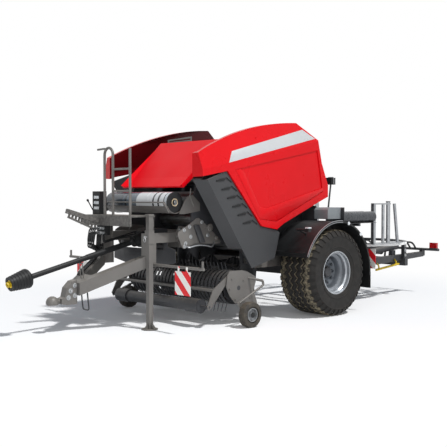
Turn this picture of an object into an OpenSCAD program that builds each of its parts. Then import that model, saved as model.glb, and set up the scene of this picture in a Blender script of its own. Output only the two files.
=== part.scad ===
// Trailed round baler with a bale wrapper behind it, standing on its wheels and its parking jack.
// X runs forward, Y to the machine's left and Z up; the ground is Z = 0. Millimetres.
// All places are measured from the axle and then moved by axle_x, so that the origin is on the ground
// under the middle of the machine's length.

/* [Wheels] */
// Diameter of the main tyres over the tread
tyre_d = 1180; // [1120:10:1240]
// Section width of the main tyres
tyre_w = 600; // [560:10:640]
// Diameter of the main rims at the bead
rim_d = 580; // [560:5:600]
// Distance of each main wheel's middle plane from the centre line
wheel_y = 1135; // [1120:5:1200]
// Depth of the zigzag grooves in the main tyres
groove_depth = 22; // [10:1:28]
// Diameter of the axle stubs
stub_d = 120; // [90:5:150]
// Diameter of the pickup gauge wheels
gauge_d = 320; // [300:5:360]
// Width of the pickup gauge wheels
gauge_w = 110; // [90:5:130]

/* [Frame] */
// Height of the side rails
rail_h = 140; // [120:5:160]
// Width of the side rails
rail_w = 80; // [60:5:90]
// Side of the square axle beam
axle_side = 150; // [120:5:160]
// Height of the front frame beams
beam_h = 120; // [100:5:140]
// Front end of the front frame beams, from the axle
beam_front_x = 2560; // [2520:10:2620]
// Front end of the drawbar, from the axle
drawbar_front_x = 3260; // [3200:10:3320]
// Side of the square parking jack leg
jack_side = 62; // [54:1:80]
// Diameter of the jack's foot plate
jack_foot_d = 200; // [170:5:240]
// Upward travel of the parking jack
jack_travel = 350; // [250:10:400]

/* [Drive shaft] */
// Height of the gearbox input
gearbox_z = 1085; // [1060:5:1100]
// Front end of the drive shaft, from the axle
pto_tip_x = 4150; // [4050:10:4250]
// Height of the drive shaft's front end
pto_tip_z = 624; // [580:5:680]
// Diameter of the drive shaft's guard tube
pto_tube_d = 64; // [60:1:76]
// Bore of the drive shaft's front yoke
pto_bore_d = 35; // [34.9:0.1:36]

/* [Bale chamber] */
// Radius at which the bale rollers are set
chamber_r = 690; // [670:5:700]
// Radius of the bale rollers
roller_r = 90; // [70:5:95]
// Thickness of the chamber's side walls
wall_t = 20; // [12:1:24]
// Width of the bale that the chamber makes
bale_w = 1230; // [1210:5:1250]
// Outer radius of the tailgate
tailgate_r = 800; // [795:1:815]

/* [Body panels] */
// Distance of the red doors' outer faces from the centre line
door_y = 1020; // [1010:5:1040]
// Thickness of the red doors
door_t = 40; // [30:1:45]
// Depth of the pressed field in each door
door_field = 14; // [8:1:18]
// Thickness of the dark front side panels
panel_t = 40; // [30:1:45]
// Thickness of the hood's sheet
hood_t = 16; // [10:1:20]

/* [Pickup] */
// Radius of the tine tips
tine_r = 330; // [315:1:333]
// Radius of the stripper bands
strip_r = 215; // [205:1:230]
// Width of a stripper band
strip_w = 44; // [36:1:46]
// Distance between neighbouring tines
tine_pitch = 70; // [68:0.5:71]
// Diameter of the front crop roller
crop_roller_d = 150; // [130:5:170]
// Distance of the pickup's side shields from the centre line
shield_y = 1010; // [1006:1:1020]

/* [Front deck] */
// Height of the front deck
deck_z = 1390; // [1380:5:1400]
// Diameter of the net roll
net_d = 260; // [220:5:290]
// Diameter of the handrail tube
rail_tube_d = 34; // [26:1:42]

/* [Wrapper] */
// Mean radius of the wrapping ring
ring_r = 1000; // [985:5:1015]
// Height of the wrapping ring's underside
ring_z = 860; // [850:1:880]
// Height of the film dispensers' tops
dispenser_top_z = 1520; // [1450:10:1600]
// Rear end of the machine, behind the axle
tail_reach = 3300; // [3250:10:3400]

/* [Hidden] */
$fn = 48;

// Paint colours
red = "#d81e28";
grey = "#5c5a57";
dark = "#3a3b3c";
black = "#1c1d1f";
silver = "#b8bcc0";

// Clearances: running fit of a pin, seat of a curved face, gap beside a moving piece
pin_gap = 0.1;
seat_gap = 0.3;
move_gap = 8;
cut = 1;

// Width of the walls over the bale, and of the net roll between the net box's cheeks
wall_y = bale_w / 2 + 35;
wall_top_z = 2340;
net_end_gap = 10;
net_len = 2 * (wall_y - net_end_gap);

// Axle and frame levels
axle_z = tyre_d / 2;
stub_reach = 40;
rail_y0 = wall_y;
rail_y1 = wall_y + rail_w;
rail_z0 = axle_z + axle_side / 2;
rail_z1 = rail_z0 + rail_h;
rail_x0 = -720;
rail_x1 = 1040;
beam_y0 = 400;
beam_y1 = 490;
beam_z0 = 1050;
beam_z1 = beam_z0 + beam_h;
post_len = 160;
post_z0 = 760;
jack_x = beam_front_x - 24;
sleeve_t = 10;
sleeve_gap = 0.5;
jack_y = beam_y1 + sleeve_t + sleeve_gap + jack_side / 2;
sleeve_z1 = beam_z1 + 40;
jack_top_z = 1409;
board_x = beam_front_x - 130;
board_arm_z = post_z0 + 25;
board_arm_r = 18;
gusset_t = 12;

// Drive shaft
gearbox_x0 = 1960;
gearbox_x1 = 2230;
pto_run = pto_tip_x - gearbox_x1;
pto_tilt = atan2(gearbox_z - pto_tip_z, pto_run);
pto_len = sqrt(pow(pto_run, 2) + pow(gearbox_z - pto_tip_z, 2));
yoke_r = 32;
yoke_len = 150;
machine_front_x = pto_tip_x + yoke_r * sin(pto_tilt);
axle_x = (tail_reach - machine_front_x) / 2;

// Bale chamber: its walls and the net roll take their width from the bale
chamber_x = 720;
chamber_z = 1480;
split_x = 700;
gate_gap = 8;
gate_y1 = wall_y - wall_t - gate_gap;
gate_y0 = gate_y1 - wall_t;
gate_hinge = [760, 2300];
gate_pin_r = 25;
rotor_x = 930;
rotor_z = 620;
rotor_r = 200;
rotor_shaft_r = 40;

// Doors: the crease runs forward and down, and the roof edge is an arc
door_hinge_y = 850;
door_hinge_z = 2380;
door_pin_r = 12;
door_hinge_xs = [800, 1060];
crease_tilt = atan2(2397 - 2037, 1668 + 46);
crease_x = 1668;
crease_z = 2037;
door_front_x = 2104;
band_h = 350;
band_in = 120;
roof_arc = [143, -1745, 4372];

// Hood over the net box
hood_hinge = [1330, 2300];
hood_pin_r = 12;
hood_top = [1420, 2370];
hood_fold = [1940, 1870];
hood_lip = [2087, 1750];
hood_y1 = 630;
net_x = 2231;
net_z = 1549;

// Pickup
pick_pivot = [1060, 590];
pick_pin_r = 20;
reel_x = 1500;
reel_z = 470;
reel_half = 945;
tine_rows = 5;
tine_count = floor(2 * (reel_half - 20) / tine_pitch);
shield_t = 12;
crop_pivot = [1620, 640];
crop_pin_r = 15;
crop_x = 1980;
crop_z = 265;
crop_half = 850;
crop_sleeve_len = 240;
crop_sleeve_t = 15;
gauge_x = 1530;
gauge_y = 1254;
gauge_axle_r = 15;

// Wrapper
ring_x = -1900;
ring_w = 60;
ring_h = 40;
rear_y0 = 600;
rear_y1 = 680;
rear_z0 = 440;
rear_z1 = 560;
bumper_t = 60;
bumper_r = 22;
bumper_z = 724;
lamp_z = bumper_z + bumper_r + 6;
// Cross beams under the ring's posts: place along the machine and lower edge
cross_beams = [[-1190, 440], [-2610, 490]];
cross_h = 120;
table_pivot = [-2450, 690];
table_pin_r = 20;

// Shapes that repeat

// A slab between two Y planes, its outline given as [x, z] points
module slab(points, y0, y1)
    translate([0, y1, 0]) rotate([90, 0, 0]) linear_extrude(y1 - y0) polygon(points);

// A block between two limits on each axis
module block(x, y, z)
    translate([x[0], y[0], z[0]]) cube([x[1] - x[0], y[1] - y[0], z[1] - z[0]]);

// A round bar along Y
module bar_y(x, z, r, y0, y1)
    translate([x, y1, z]) rotate([90, 0, 0]) cylinder(r = r, h = y1 - y0);

// A round bar between two points
module bar(a, b, r) {
    d = b - a;
    translate(a) rotate([0, acos(d[2] / norm(d)), atan2(d[1], d[0])]) cylinder(r = r, h = norm(d));
}

// A piece and its mirror image on the machine's other side
module both_sides() {
    children();
    mirror([0, 1, 0]) children();
}

// A ring sector in the X-Z plane between two Y planes, from angle a0 to a1 (under 180 degrees apart)
module arch(x, z, r0, r1, a0, a1, y0, y1) {
    $fn = 360;
    far = 2 * r1;
    mid = (a0 + a1) / 2;
    wedge = concat([[0, 0]], [for (a = [a0, mid, a1]) far * [cos(a), sin(a)]]);
    translate([x, y1, z]) rotate([90, 0, 0]) linear_extrude(y1 - y0)
        intersection() {
            difference() {
                circle(r = r1);
                circle(r = r0);
            }
            polygon(wedge);
        }
}

// Moves the machine so that the origin is under the middle of its length
module placed() translate([axle_x, 0, 0]) children();

// Chassis

module main_frame() color(grey) {
    both_sides() {
        block([rail_x0, rail_x1], [rail_y0, rail_y1], [rail_z0, rail_z1]);
        block([1500, beam_front_x], [beam_y0, beam_y1], [beam_z0, beam_z1]);
        block([beam_front_x - post_len, beam_front_x], [beam_y0, beam_y1], [post_z0, beam_z0]);
        board_arm();
        slab([[1950, beam_z0 - 35], [2090, beam_z0 + 15], [2090, beam_z1 - 15], [2045, beam_z1 + 80],
            [1830, beam_z1 + 60], [1745, beam_z0 - 35]], beam_y1, beam_y1 + gusset_t);
        roof_slats();
    }
    block([rail_x0, rail_x0 + 80], [-rail_y0, rail_y0], [rail_z0, rail_z1]);
    block([1500, 1580], [wall_t - wall_y, wall_y - wall_t], [beam_z0, beam_z1]);
    block([gearbox_x0 - 70, gearbox_x0], [-beam_y0, beam_y0], [beam_z0 - 80, beam_z1]);
    jack_sleeve();
}

// Louvred strip that stands on a chamber wall between the hood and the tailgate
module roof_slats() {
    xs = [840, 1290];
    heights = [160, 85];
    slots = 3;
    slot_share = 0.16;
    y0 = wall_y - wall_t;
    difference() {
        slab([[xs[0], wall_top_z], [xs[0], wall_top_z + heights[0]], [xs[1], wall_top_z + heights[1]],
            [xs[1], wall_top_z]], y0, y0 + 10);
        for (i = [1 : slots]) {
            low = i / (slots + 1) - slot_share / 2;
            high = low + slot_share;
            slab([[xs[0] + 20, wall_top_z + low * heights[0]],
                [xs[0] + 20, wall_top_z + high * heights[0]],
                [xs[1] - 20, wall_top_z + high * heights[1]],
                [xs[1] - 20, wall_top_z + low * heights[1]]], y0 - cut, y0 + 10 + cut);
        }
    }
}

// Arm that carries a front warning board out to the machine's width
module board_arm() {
    bar_y(board_x, board_arm_z, board_arm_r, beam_y1 - 10, 1400);
    bar([board_x, 1380, board_arm_z], [board_x, 1380, board_arm_z + 90], board_arm_r - 4);
}

module jack_sleeve() {
    half = jack_side / 2 + sleeve_gap;
    difference() {
        block([jack_x - half - sleeve_t, jack_x + half + sleeve_t],
            [jack_y - half - sleeve_t, jack_y + half + sleeve_t], [beam_z0, sleeve_z1]);
        block([jack_x - half, jack_x + half], [jack_y - half, jack_y + half],
            [beam_z0 - cut, sleeve_z1 + cut]);
    }
}

module jack_leg() color(grey) {
    foot_t = 16;
    wall = 6;
    half = jack_side / 2;
    head_t = 24;
    translate([jack_x, jack_y, 0]) {
        cylinder(d = jack_foot_d, h = foot_t);
        translate([-half - 8, -half - 8, jack_top_z - head_t])
            cube([jack_side + 16, jack_side + 16, head_t]);
        difference() {
            translate([-half, -half, foot_t]) cube([jack_side, jack_side, jack_top_z - foot_t]);
            translate([wall - half, wall - half, foot_t + wall])
                cube([jack_side - 2 * wall, jack_side - 2 * wall, jack_top_z - foot_t - wall - head_t]);
        }
        for (a = [0, 90, 180, 270]) rotate(a) slab([[half, foot_t], [jack_foot_d / 2 - 12, foot_t],
            [half, foot_t + 70]], -5, 5);
    }
}

module axle_beam() color(dark) {
    stub_y = wheel_y + stub_reach;
    block([-axle_side / 2, axle_side / 2], [-rail_y1 - 60, rail_y1 + 60],
        [axle_z - axle_side / 2, rail_z0]);
    both_sides() bar_y(0, axle_z, stub_d / 2, rail_y1 + 60, stub_y);
}

module drawbar() color(grey) {
    z_rear = [745, 890];
    z_front = [440, 590];
    intersection() {
        slab([[beam_front_x, z_rear[0]], [beam_front_x, z_rear[1]], [drawbar_front_x, z_front[1]],
            [drawbar_front_x, z_front[0]]], -beam_y1, beam_y1);
        translate([0, 0, z_front[0] - cut]) linear_extrude(z_rear[1]) difference() {
            polygon([[beam_front_x, -480], [beam_front_x, 480], [drawbar_front_x, 110],
                [drawbar_front_x, -110]]);
            polygon([[beam_front_x - cut, -375], [beam_front_x - cut, 375], [drawbar_front_x - 190, 75],
                [drawbar_front_x - 190, -75]]);
        }
    }
    pto_stay();
}

// Cradle on the drawbar in which the parked drive shaft lies
module pto_stay() {
    x = drawbar_front_x - 110;
    lean = 20;
    stay_r = 8;
    shaft_z = gearbox_z - (x + lean + stay_r - gearbox_x1) * tan(pto_tilt) - pto_tube_d / 2 / cos(pto_tilt);
    bar_z = shaft_z - seat_gap - stay_r;
    both_sides() bar([x, 30, 600], [x + lean, 30, bar_z], stay_r - 1);
    bar_y(x + lean, bar_z, stay_r, -38, 38);
}

module tow_coupling() color(grey) {
    cup_r = 75;
    ball_r = 40.5;
    ball_drop = 12;
    head_x1 = drawbar_front_x + 215;
    cup_x = drawbar_front_x + 310;
    cup_z = 375;
    neck_z = 381;
    // Half of the cup's section: its dome with a flat top, and the socket for the ball, open below
    dome = [for (a = [82 : -8 : -22]) cup_r * [cos(a), sin(a)]];
    socket = [for (a = [-22 : 8 : 82]) [ball_r * cos(a), ball_r * sin(a) - ball_drop]];
    dome_top = [0, cup_r * sin(82)];
    socket_top = [0, ball_r * sin(82) - ball_drop];
    slab([[drawbar_front_x, 625], [drawbar_front_x + 62, 612], [drawbar_front_x + 140, 536],
        [drawbar_front_x + 166, 430], [head_x1, 412], [head_x1, 350], [drawbar_front_x + 150, 335],
        [drawbar_front_x, 335]], -55, 55);
    bar([head_x1 - 40, 0, neck_z], [cup_x - 50, 0, neck_z], 26);
    translate([cup_x, 0, cup_z]) rotate_extrude() polygon(concat([dome_top], dome, socket, [socket_top]));
}

module gearbox() color(dark) {
    half = 170;
    difference() {
        slab([[gearbox_x0, 960], [gearbox_x0, beam_z1 + 40], [gearbox_x1 - 60, beam_z1 + 40],
            [gearbox_x1, beam_z1], [gearbox_x1, 990], [gearbox_x1 - 60, 960]], -half, half);
        both_sides() block([gearbox_x0 + 40, gearbox_x1 - 60], [half - 25, half + cut], [1000, 1130]);
    }
}

// A point's place along the drive shaft, 0 at the gearbox
module along_pto(s)
    translate([gearbox_x1, 0, gearbox_z]) rotate([0, 90 + pto_tilt, 0]) translate([0, 0, s]) children();

module pto_guard() color(black) {
    bell_len = 290;
    bell_s = pto_len - bell_len - 30;
    ribs = 6;
    tube_r = pto_tube_d / 2;
    // The bell's outline along the shaft: it swells behind and narrows to the tip, with ribs all along
    bell = concat([[0, 0], [tube_r + 6, 0], [104, 42]],
        [for (i = [0 : ribs - 1]) let (s = 60 + 36 * i, r = 114 - 5 * i)
            each [[r, s], [r, s + 22], [r - 6, s + 26], [r - 6, s + 34]]],
        [[84, bell_len], [0, bell_len]]);
    difference() {
        union() {
            along_pto(-100) cylinder(r1 = 96, r2 = 70, h = 260);
            along_pto(140) cylinder(r = tube_r + 4, h = 740);
            along_pto(860) cylinder(r = tube_r, h = bell_s - 855);
            along_pto(bell_s) rotate_extrude() polygon(bell);
        }
        block([gearbox_x0, gearbox_x1], [-300, 300], [700, 1400]);
        along_pto(pto_len - yoke_len - 30) cylinder(r = yoke_r + 22, h = yoke_len + 30);
    }
}

module pto_yoke() color("#d8b400") {
    difference() {
        union() {
            along_pto(pto_len - yoke_len - 30) cylinder(r = yoke_r, h = yoke_len + 30);
            along_pto(pto_len - 76) cylinder(r = yoke_r + 14, h = 40);
        }
        along_pto(pto_len - 90) cylinder(d = pto_bore_d, h = 91);
    }
}

// Bale chamber

module chamber_walls() color(dark) {
    outline = [[split_x + 5, wall_top_z], [split_x + 5, 690], [790, 690], [810, 520], [1105, 520],
        [1105, 1000], [1900, 1010], [1960, 1090], [1960, 1560], [1880, 1740], [1360, 2250],
        [1360, wall_top_z]];
    both_sides() {
        difference() {
            slab(outline, wall_y - wall_t, wall_y);
            bar_y(rotor_x, rotor_z, rotor_shaft_r + pin_gap, wall_y - wall_t - cut, wall_y + cut);
            bar_y(gate_hinge[0], gate_hinge[1], gate_pin_r + pin_gap, wall_y - wall_t - cut, wall_y + cut);
            bar_y(hood_hinge[0], hood_hinge[1], hood_pin_r + pin_gap, wall_y - wall_t - cut, wall_y + cut);
        }
        bar_y(pick_pivot[0], pick_pivot[1], pick_pin_r, wall_y, wall_y + 36);
        for (p = [[1600, 1500], [1080, 1060]]) bar_y(p[0], p[1], 25, wall_y, door_y - 20 - panel_t);
        for (x = door_hinge_xs) door_bracket(x);
    }
}

// Arm that carries one hinge pin of a side door
module door_bracket(x) {
    arm = [[wall_y, 2280], [wall_y, 2335], [door_hinge_y - 30, door_hinge_z + 25],
        [door_hinge_y + 18, door_hinge_z + 22], [door_hinge_y + 18, door_hinge_z - 22],
        [door_hinge_y - 30, door_hinge_z - 30]];
    translate([x, 0, 0]) {
        rotate([90, 0, 90]) linear_extrude(30) polygon(arm);
        translate([30, door_hinge_y, door_hinge_z]) rotate([0, 90, 0]) cylinder(r = door_pin_r, h = 40);
    }
}

module bale_roller(angle, half, shaft) {
    x = chamber_x + chamber_r * cos(angle);
    z = chamber_z + chamber_r * sin(angle);
    bar_y(x, z, roller_r, -half, half);
    bar_y(x, z, 25, -shaft, shaft);
}

module chamber_rollers() color(silver) {
    for (a = [-38, -14, 10, 34, 58, 80]) bale_roller(a, gate_y0 - 8, wall_y - wall_t);
}

module tailgate_shell() color(dark) {
    both_sides() {
        difference() {
            bar_y(chamber_x, chamber_z, tailgate_r, gate_y0, gate_y1, $fn = 360);
            block([split_x - 5, 3000], [gate_y0 - cut, gate_y1 + cut], [0, 4000]);
        }
        slab([[split_x - 60, 2200], [split_x - 60, 2290], [740, 2340], [795, 2330], [800, 2275],
            [split_x + 5, 2180]], gate_y0, gate_y1);
        bar_y(gate_hinge[0], gate_hinge[1], gate_pin_r, gate_y0 + 5, wall_y + 5);
    }
    for (a = [[100, 175], [174, 248]])
        arch(chamber_x, chamber_z, tailgate_r - 20, tailgate_r - 8, a[0], a[1], -gate_y0 - 5, gate_y0 + 5);
}

module tailgate_rollers() color(silver) {
    for (a = [112, 137, 162, 187, 212, 237]) bale_roller(a, gate_y0 - 8, gate_y0);
}

// Feed rotor: star plates on a tube, each turned a little from the last
module rotor() color(dark) {
    star_t = 12;
    half = wall_y - wall_t - 12;
    stars = 12;
    step = 2 * (half - 30) / (stars - 1);
    bar_y(rotor_x, rotor_z, 80, -half, half);
    bar_y(rotor_x, rotor_z, rotor_shaft_r, -wall_y, wall_y);
    for (i = [0 : stars - 1]) translate([rotor_x, 30 - half + i * step, rotor_z]) rotate([90, 20 * i, 0])
        linear_extrude(star_t, center = true) for (k = [0 : 3]) rotate(90 * k)
            polygon([[60, -50], [rotor_r - 40, -34], [rotor_r - 2, 4], [rotor_r - 50, 22], [60, 50]]);
}

// Body panels

// The red door's outline seen from the side, before its roof edge is rounded
door_outline = [[2270, 1837], [1687, 1939], [1077, 1238], [791, 1188], [655, 1265], [4, 1519],
    [-263, 1619], [-262, 1777], [-124, 2089], [-46, 2400], [330, 2640], [2160, 2640]];

module door_sheet(inset, y0, y1)
    intersection() {
        slab(door_outline, y0, y1);
        bar_y(roof_arc[0], roof_arc[1], roof_arc[2] - inset, y0, y1, $fn = 1440);
    }

// The door's outer line across the crease, from below it to the roof: upright, then leaning in
door_skin = [[door_y, -1400], [door_y, 0], [door_y - band_in, band_h],
    [door_y - band_in - 200 * band_in / band_h, band_h + 200]];

// A cross section run along the crease
module along_crease(points)
    translate([crease_x, 0, crease_z]) rotate([0, crease_tilt, 0]) translate([-2600, 0, 0])
        rotate([90, 0, 90]) linear_extrude(4200) polygon(points);

// An upright prism over an outline in plan, taller than the doors
module over_plan(points) translate([0, 0, 1000]) linear_extrude(2000) polygon(points);

module door() {
    field = [[1560, 1960], [1120, 1330], [800, 1290], [60, 1600], [-150, 1690], [-70, 2080], [-30, 2260]];
    inside = [[door_y - band_in - 260, band_h + 200], [door_y - door_t - band_in, band_h - 40],
        [door_y - door_t, -20], [door_y - door_t, -1400]];
    // Plan of the front flange, from the door's outer face to its free edge
    flange_out = [door_front_x, door_y];
    flange_in = [door_front_x + 30, door_hinge_y + 10];
    difference() {
        intersection() {
            door_sheet(0, door_hinge_y - 200, door_y);
            along_crease(concat(door_skin, inside));
            over_plan([[-1000, 0], flange_in - [0, flange_in[1]], flange_in, flange_out, [-1000, door_y]]);
        }
        slab(field, door_y - door_field, door_y + cut);
    }
    intersection() {
        door_sheet(0, door_hinge_y, door_y);
        along_crease(concat(door_skin, [[0, band_h + 200], [0, -1400]]));
        over_plan([flange_out, flange_in, flange_in - [door_t, 0], flange_out - [door_t + 8, 0]]);
    }
    for (x = door_hinge_xs) door_ear(x + 36);
}

// Ear under the roof edge that turns on a hinge pin
module door_ear(x) {
    roof_y = door_y - band_in / 2;
    difference() {
        translate([x, 0, 0]) rotate([90, 0, 90]) linear_extrude(28)
            polygon([[door_hinge_y - 25, door_hinge_z - 25], [roof_y - 10, door_hinge_z - 60],
                [roof_y - 10, door_hinge_z + 10], [door_hinge_y - 25, door_hinge_z + 25]]);
        translate([x - cut, door_hinge_y, door_hinge_z]) rotate([0, 90, 0])
            cylinder(r = door_pin_r + pin_gap, h = 30);
    }
}

module door_left() color(red) door();
module door_right() color(red) mirror([0, 1, 0]) door();

module side_panels() color(dark) {
    y1 = door_y - 20;
    y0 = y1 - panel_t;
    // Front edge of the outer face, and how far the angled strip runs forward and inward from it
    edge = [[2010, 1826], [1243, 700]];
    strip = [106, -150];
    strip_z0 = 960;
    outline = [edge[0], [1690, 1930], [1082, 1230], [780, 1176], [717, 1146], [811, 811], edge[1]];
    slot_step = [-92, -107];
    both_sides() {
        difference() {
            slab(outline, y0, y1);
            for (i = [0 : 5]) translate([i * slot_step[0], 0, i * slot_step[1]])
                slab([[1735, 1845], [1610, 1790], [1602, 1806], [1690, 1862]], y1 - 16, y1 + cut);
        }
        panel_strip(edge, strip, strip_z0, y1);
    }
}

// Plate that turns in from a panel's front edge: one section, run along the edge and cut level at both ends
module panel_strip(edge, strip, z0, y1) {
    run = edge[0] - edge[1];
    lean = atan2(run[0], run[1]);
    back = 30;
    spare = 200;
    plan = [[0, 0], strip, strip - [back, 0], [-back, -14], [-back, 0]];
    intersection() {
        translate([edge[1][0], y1, edge[1][1]]) rotate([0, lean, 0]) translate([0, 0, -spare])
            linear_extrude(norm(run) + 2 * spare) polygon([for (p = plan) [p[0] * cos(lean), p[1]]]);
        block([0, 2 * edge[0][0]], [0, y1], [z0, edge[0][1]]);
    }
}

module hood() color(red) {
    t = hood_t;
    // Sheet folded at hood_fold, seen from the side
    sheet = [hood_top, hood_fold, hood_lip, hood_lip - [t, t], hood_fold - [t, t], hood_top - [t, t]];
    slab(sheet, -hood_y1, hood_y1);
    both_sides() {
        hood_flank();
        slab([hood_top - [t, t] / 2, hood_top + (hood_fold - hood_top) / 4 - [t, t] / 2,
            hood_hinge + [30, -40], hood_hinge - [20, 20], hood_hinge + [-20, 25]], hood_y1 - 34,
            hood_y1 - 14);
        bar_y(hood_hinge[0], hood_hinge[1], hood_pin_r, hood_y1 - 34, wall_y + 5);
    }
}

// Wedge that lifts the hood's outer edge, thickest at the fold
module hood_flank() {
    rise = [65, 0];
    lip_rise = [28, 24];
    inner_y = hood_y1 - 85;
    top = hood_top - [6, 10];
    fold = hood_fold - [4, 4];
    lip = hood_lip - [4, 4];
    module dot(p, y) translate([p[0], y, p[1]]) cube(2, center = true);
    hull() {
        dot(top, hood_y1 - 1);
        dot(fold, inner_y);
        dot(fold, hood_y1 - 1);
        dot(fold + rise, hood_y1 - 1);
    }
    hull() {
        dot(fold, inner_y);
        dot(fold, hood_y1 - 1);
        dot(fold + rise, hood_y1 - 1);
        dot(lip, inner_y + 10);
        dot(lip, hood_y1 - 1);
        dot(lip + lip_rise, hood_y1 - 1);
    }
}

// Net box and front deck

module net_box() color(grey) {
    r = net_d / 2 + seat_gap;
    cheek = [[1830, 1440], [1830, 1540], [1950, 1640], [2000, 1640], [net_x - r - 14, net_z + 20],
        [net_x - r + 16, net_z - 40], [net_x - 88, net_z - 84], [net_x - 60, net_z - r - 14],
        [net_x - 150, net_z - r - 14]];
    tray_y = wall_y + 8;
    hook = [[1935, 1500], [2000, 1630], [1985, 1725]];
    rail_x = net_x + r + 40;
    both_sides() {
        slab(cheek, wall_y, wall_y + 10);
        for (i = [0, 1])
            bar([hook[i][0], wall_y + 14, hook[i][1]], [hook[i + 1][0], wall_y + 14, hook[i + 1][1]], 8 - i);
        slab([[net_x + 88, net_z - r + 20], [net_x + 100, net_z - r + 6], [rail_x + 12, net_z - 6],
            [rail_x + 8, net_z + 12], [rail_x - 12, net_z + 8]], net_len / 2 + 2, wall_y);
    }
    for (a = [[190, 265], [265, 340]]) arch(net_x, net_z, r, r + 6, a[0], a[1], -tray_y, tray_y);
    bar_y(rail_x, net_z, 9, -wall_y, wall_y);
}

module net_roll() color("#e4e4e2") difference() {
    bar_y(net_x, net_z, net_d / 2, -net_len / 2, net_len / 2);
    bar_y(net_x, net_z, 38, -net_len / 2 - cut, net_len / 2 + cut);
}

module platform() color(grey) {
    x0 = beam_front_x - post_len;
    x1 = x0 + 380;
    y0 = -600;
    y1 = 470;
    t = 20;
    block([x0, x1], [y0, y1], [deck_z - t, deck_z]);
    block([x1 - 20, x1], [y0, y1], [deck_z - 130, deck_z - t]);
    both_sides() block([x0 + 10, x0 + 60], [beam_y0, beam_y1 - 30], [beam_z1, deck_z - t]);
    hose_comb(x1);
}

// Slanting bar with open hooks in which the parked hoses hang
module hose_comb(x) {
    tilt = 15.8;
    hooks = 9;
    pitch = 50;
    translate([x, -200, deck_z - 75]) rotate([0, -tilt, 0]) {
        translate([-20, -22, -27]) cube([500, 44, 55]);
        for (i = [0 : hooks - 1]) slab([[20 + pitch * i, -20], [20 + pitch * i, 6 * i - 118],
            [36 + pitch * i, 6 * i - 118], [36 + pitch * i, -20]], -14, 14);
        slab([[20, -122], [20, -104], [36 + pitch * (hooks - 1), 6 * hooks - 110],
            [36 + pitch * (hooks - 1), 6 * hooks - 128]], -22, 22);
    }
}

module ladder_rail() color(grey) {
    x = beam_front_x + 140;
    r = rail_tube_d / 2;
    ys = [-168, 10, 365];
    tops = [2140, 2140, 2210];
    for (i = [0 : 2]) bar([x, ys[i], deck_z], [x, ys[i], tops[i]], r);
    for (z = [1690, 1960]) bar_y(x, z, r - 4, ys[1], ys[2]);
    bend = (ys[1] - ys[0]) / 2;
    translate([x, ys[0] + bend, tops[0]]) rotate([90, 0, 90]) intersection() {
        rotate_extrude() translate([bend, 0]) circle(r = r);
        translate([-2 * bend, 0, -2 * r]) cube([4 * bend, 3 * bend, 4 * r]);
    }
}

// Control box on the deck, and the valve block under the deck's front edge
module control_box() color(black) {
    x1 = beam_front_x + 40;
    valve_x1 = beam_front_x - post_len + 380;
    skirt_z = deck_z - 130;
    difference() {
        block([x1 - 110, x1], [-590, -430], [deck_z, deck_z + 300]);
        for (z = [60, 130, 200]) block([x1 - 6, x1 + cut], [-570, -450], [deck_z + z, deck_z + z + 45]);
    }
    slab([[valve_x1 - 80, skirt_z], [valve_x1, skirt_z], [valve_x1, skirt_z - 60],
        [valve_x1 - 40, skirt_z - 120], [valve_x1 - 80, skirt_z - 120]], -230, -60);
}

// Wheel arches, film racks and lamps

module mudguards() color(black) {
    r = tyre_d / 2 + 100;
    y0 = wheel_y - tyre_w / 2 - 15;
    y1 = wheel_y + tyre_w / 2;
    both_sides() {
        for (a = [[20, 103], [103, 186]]) {
            arch(0, axle_z, r, r + 10, a[0], a[1], y0, y1 - 4);
            arch(0, axle_z, r - 9, r + 17, a[0], a[1], y1 - 16, y1);
        }
        bar([440, wheel_y + 95, 1118], [600, wheel_y + 95, 1185], 11);
        bar_y(600, 1185, 15, wheel_y + 60, y1 - 60);
        block([572, 628], [y1 - 64, y1 - 10], [1160, 1210]);
        block([-r - 20, -r - 8], [y0 + 60, y1], [axle_z - 260, axle_z - 30]);
        bar_y(-r - 14, rail_z0 + 60, 18, rail_y1, y1 - 60);
        bar([-r - 14, wheel_y + 60, rail_z0 + 60], [rear_board_x, wheel_y + 60, rail_z0 + 60], 14);
        block([600, 640], [rail_y0 + 40, rail_y1], [rail_z1, rail_z1 + 90]);
        bar_y(r * cos(25) + 5, rail_z1 + 72, 18, rail_y1 - 30, y1 - 60);
    }
}

rear_board_x = -950;
rack_x0 = -1080;
rack_x1 = -330;
rack_z = 1240;
film_r = 80;
film_ys = [1010, 1180];

module film_racks() color(dark) both_sides() {
    for (x = [-400, -700]) {
        block([x, x + 40], [rail_y1 - 40, rail_y1], [rail_z1, rack_z]);
        block([x, x + 40], [rail_y1, film_ys[1] + film_r], [rack_z - 40, rack_z]);
    }
    block([rack_x0, rack_x1], [film_ys[0] - film_r, film_ys[1] + film_r], [rack_z, rack_z + 6]);
    block([rack_x1, rack_x1 + 8], [film_ys[0] - film_r, film_ys[1] + film_r], [rack_z, rack_z + 230]);
    bar([-380, 900, rack_z - 20], [-470, 900, 1790], 12);
}

module film_rolls() color(black) both_sides() for (y = film_ys)
    translate([rack_x0, y, rack_z + 6 + film_r + seat_gap]) rotate([0, 90, 0]) difference() {
        cylinder(r = film_r, h = rack_x1 - rack_x0 - seat_gap);
        translate([0, 0, -cut]) cylinder(r = 38, h = rack_x1 - rack_x0);
    }

module tool_boxes() color(silver)
    both_sides() slab([[rack_x1 + 8, 1310], [rack_x1 + 8, 1470], [-70, 1470], [-40, 1440], [-40, 1310]],
        960, 1200);

module work_lamps() color(black) both_sides() {
    translate([-470, 900, 1792.2]) difference() {
        translate([-45, -50, 0]) cube([90, 100, 100]);
        translate([-46, -38, 14]) cube([12, 76, 72]);
    }
}

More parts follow.
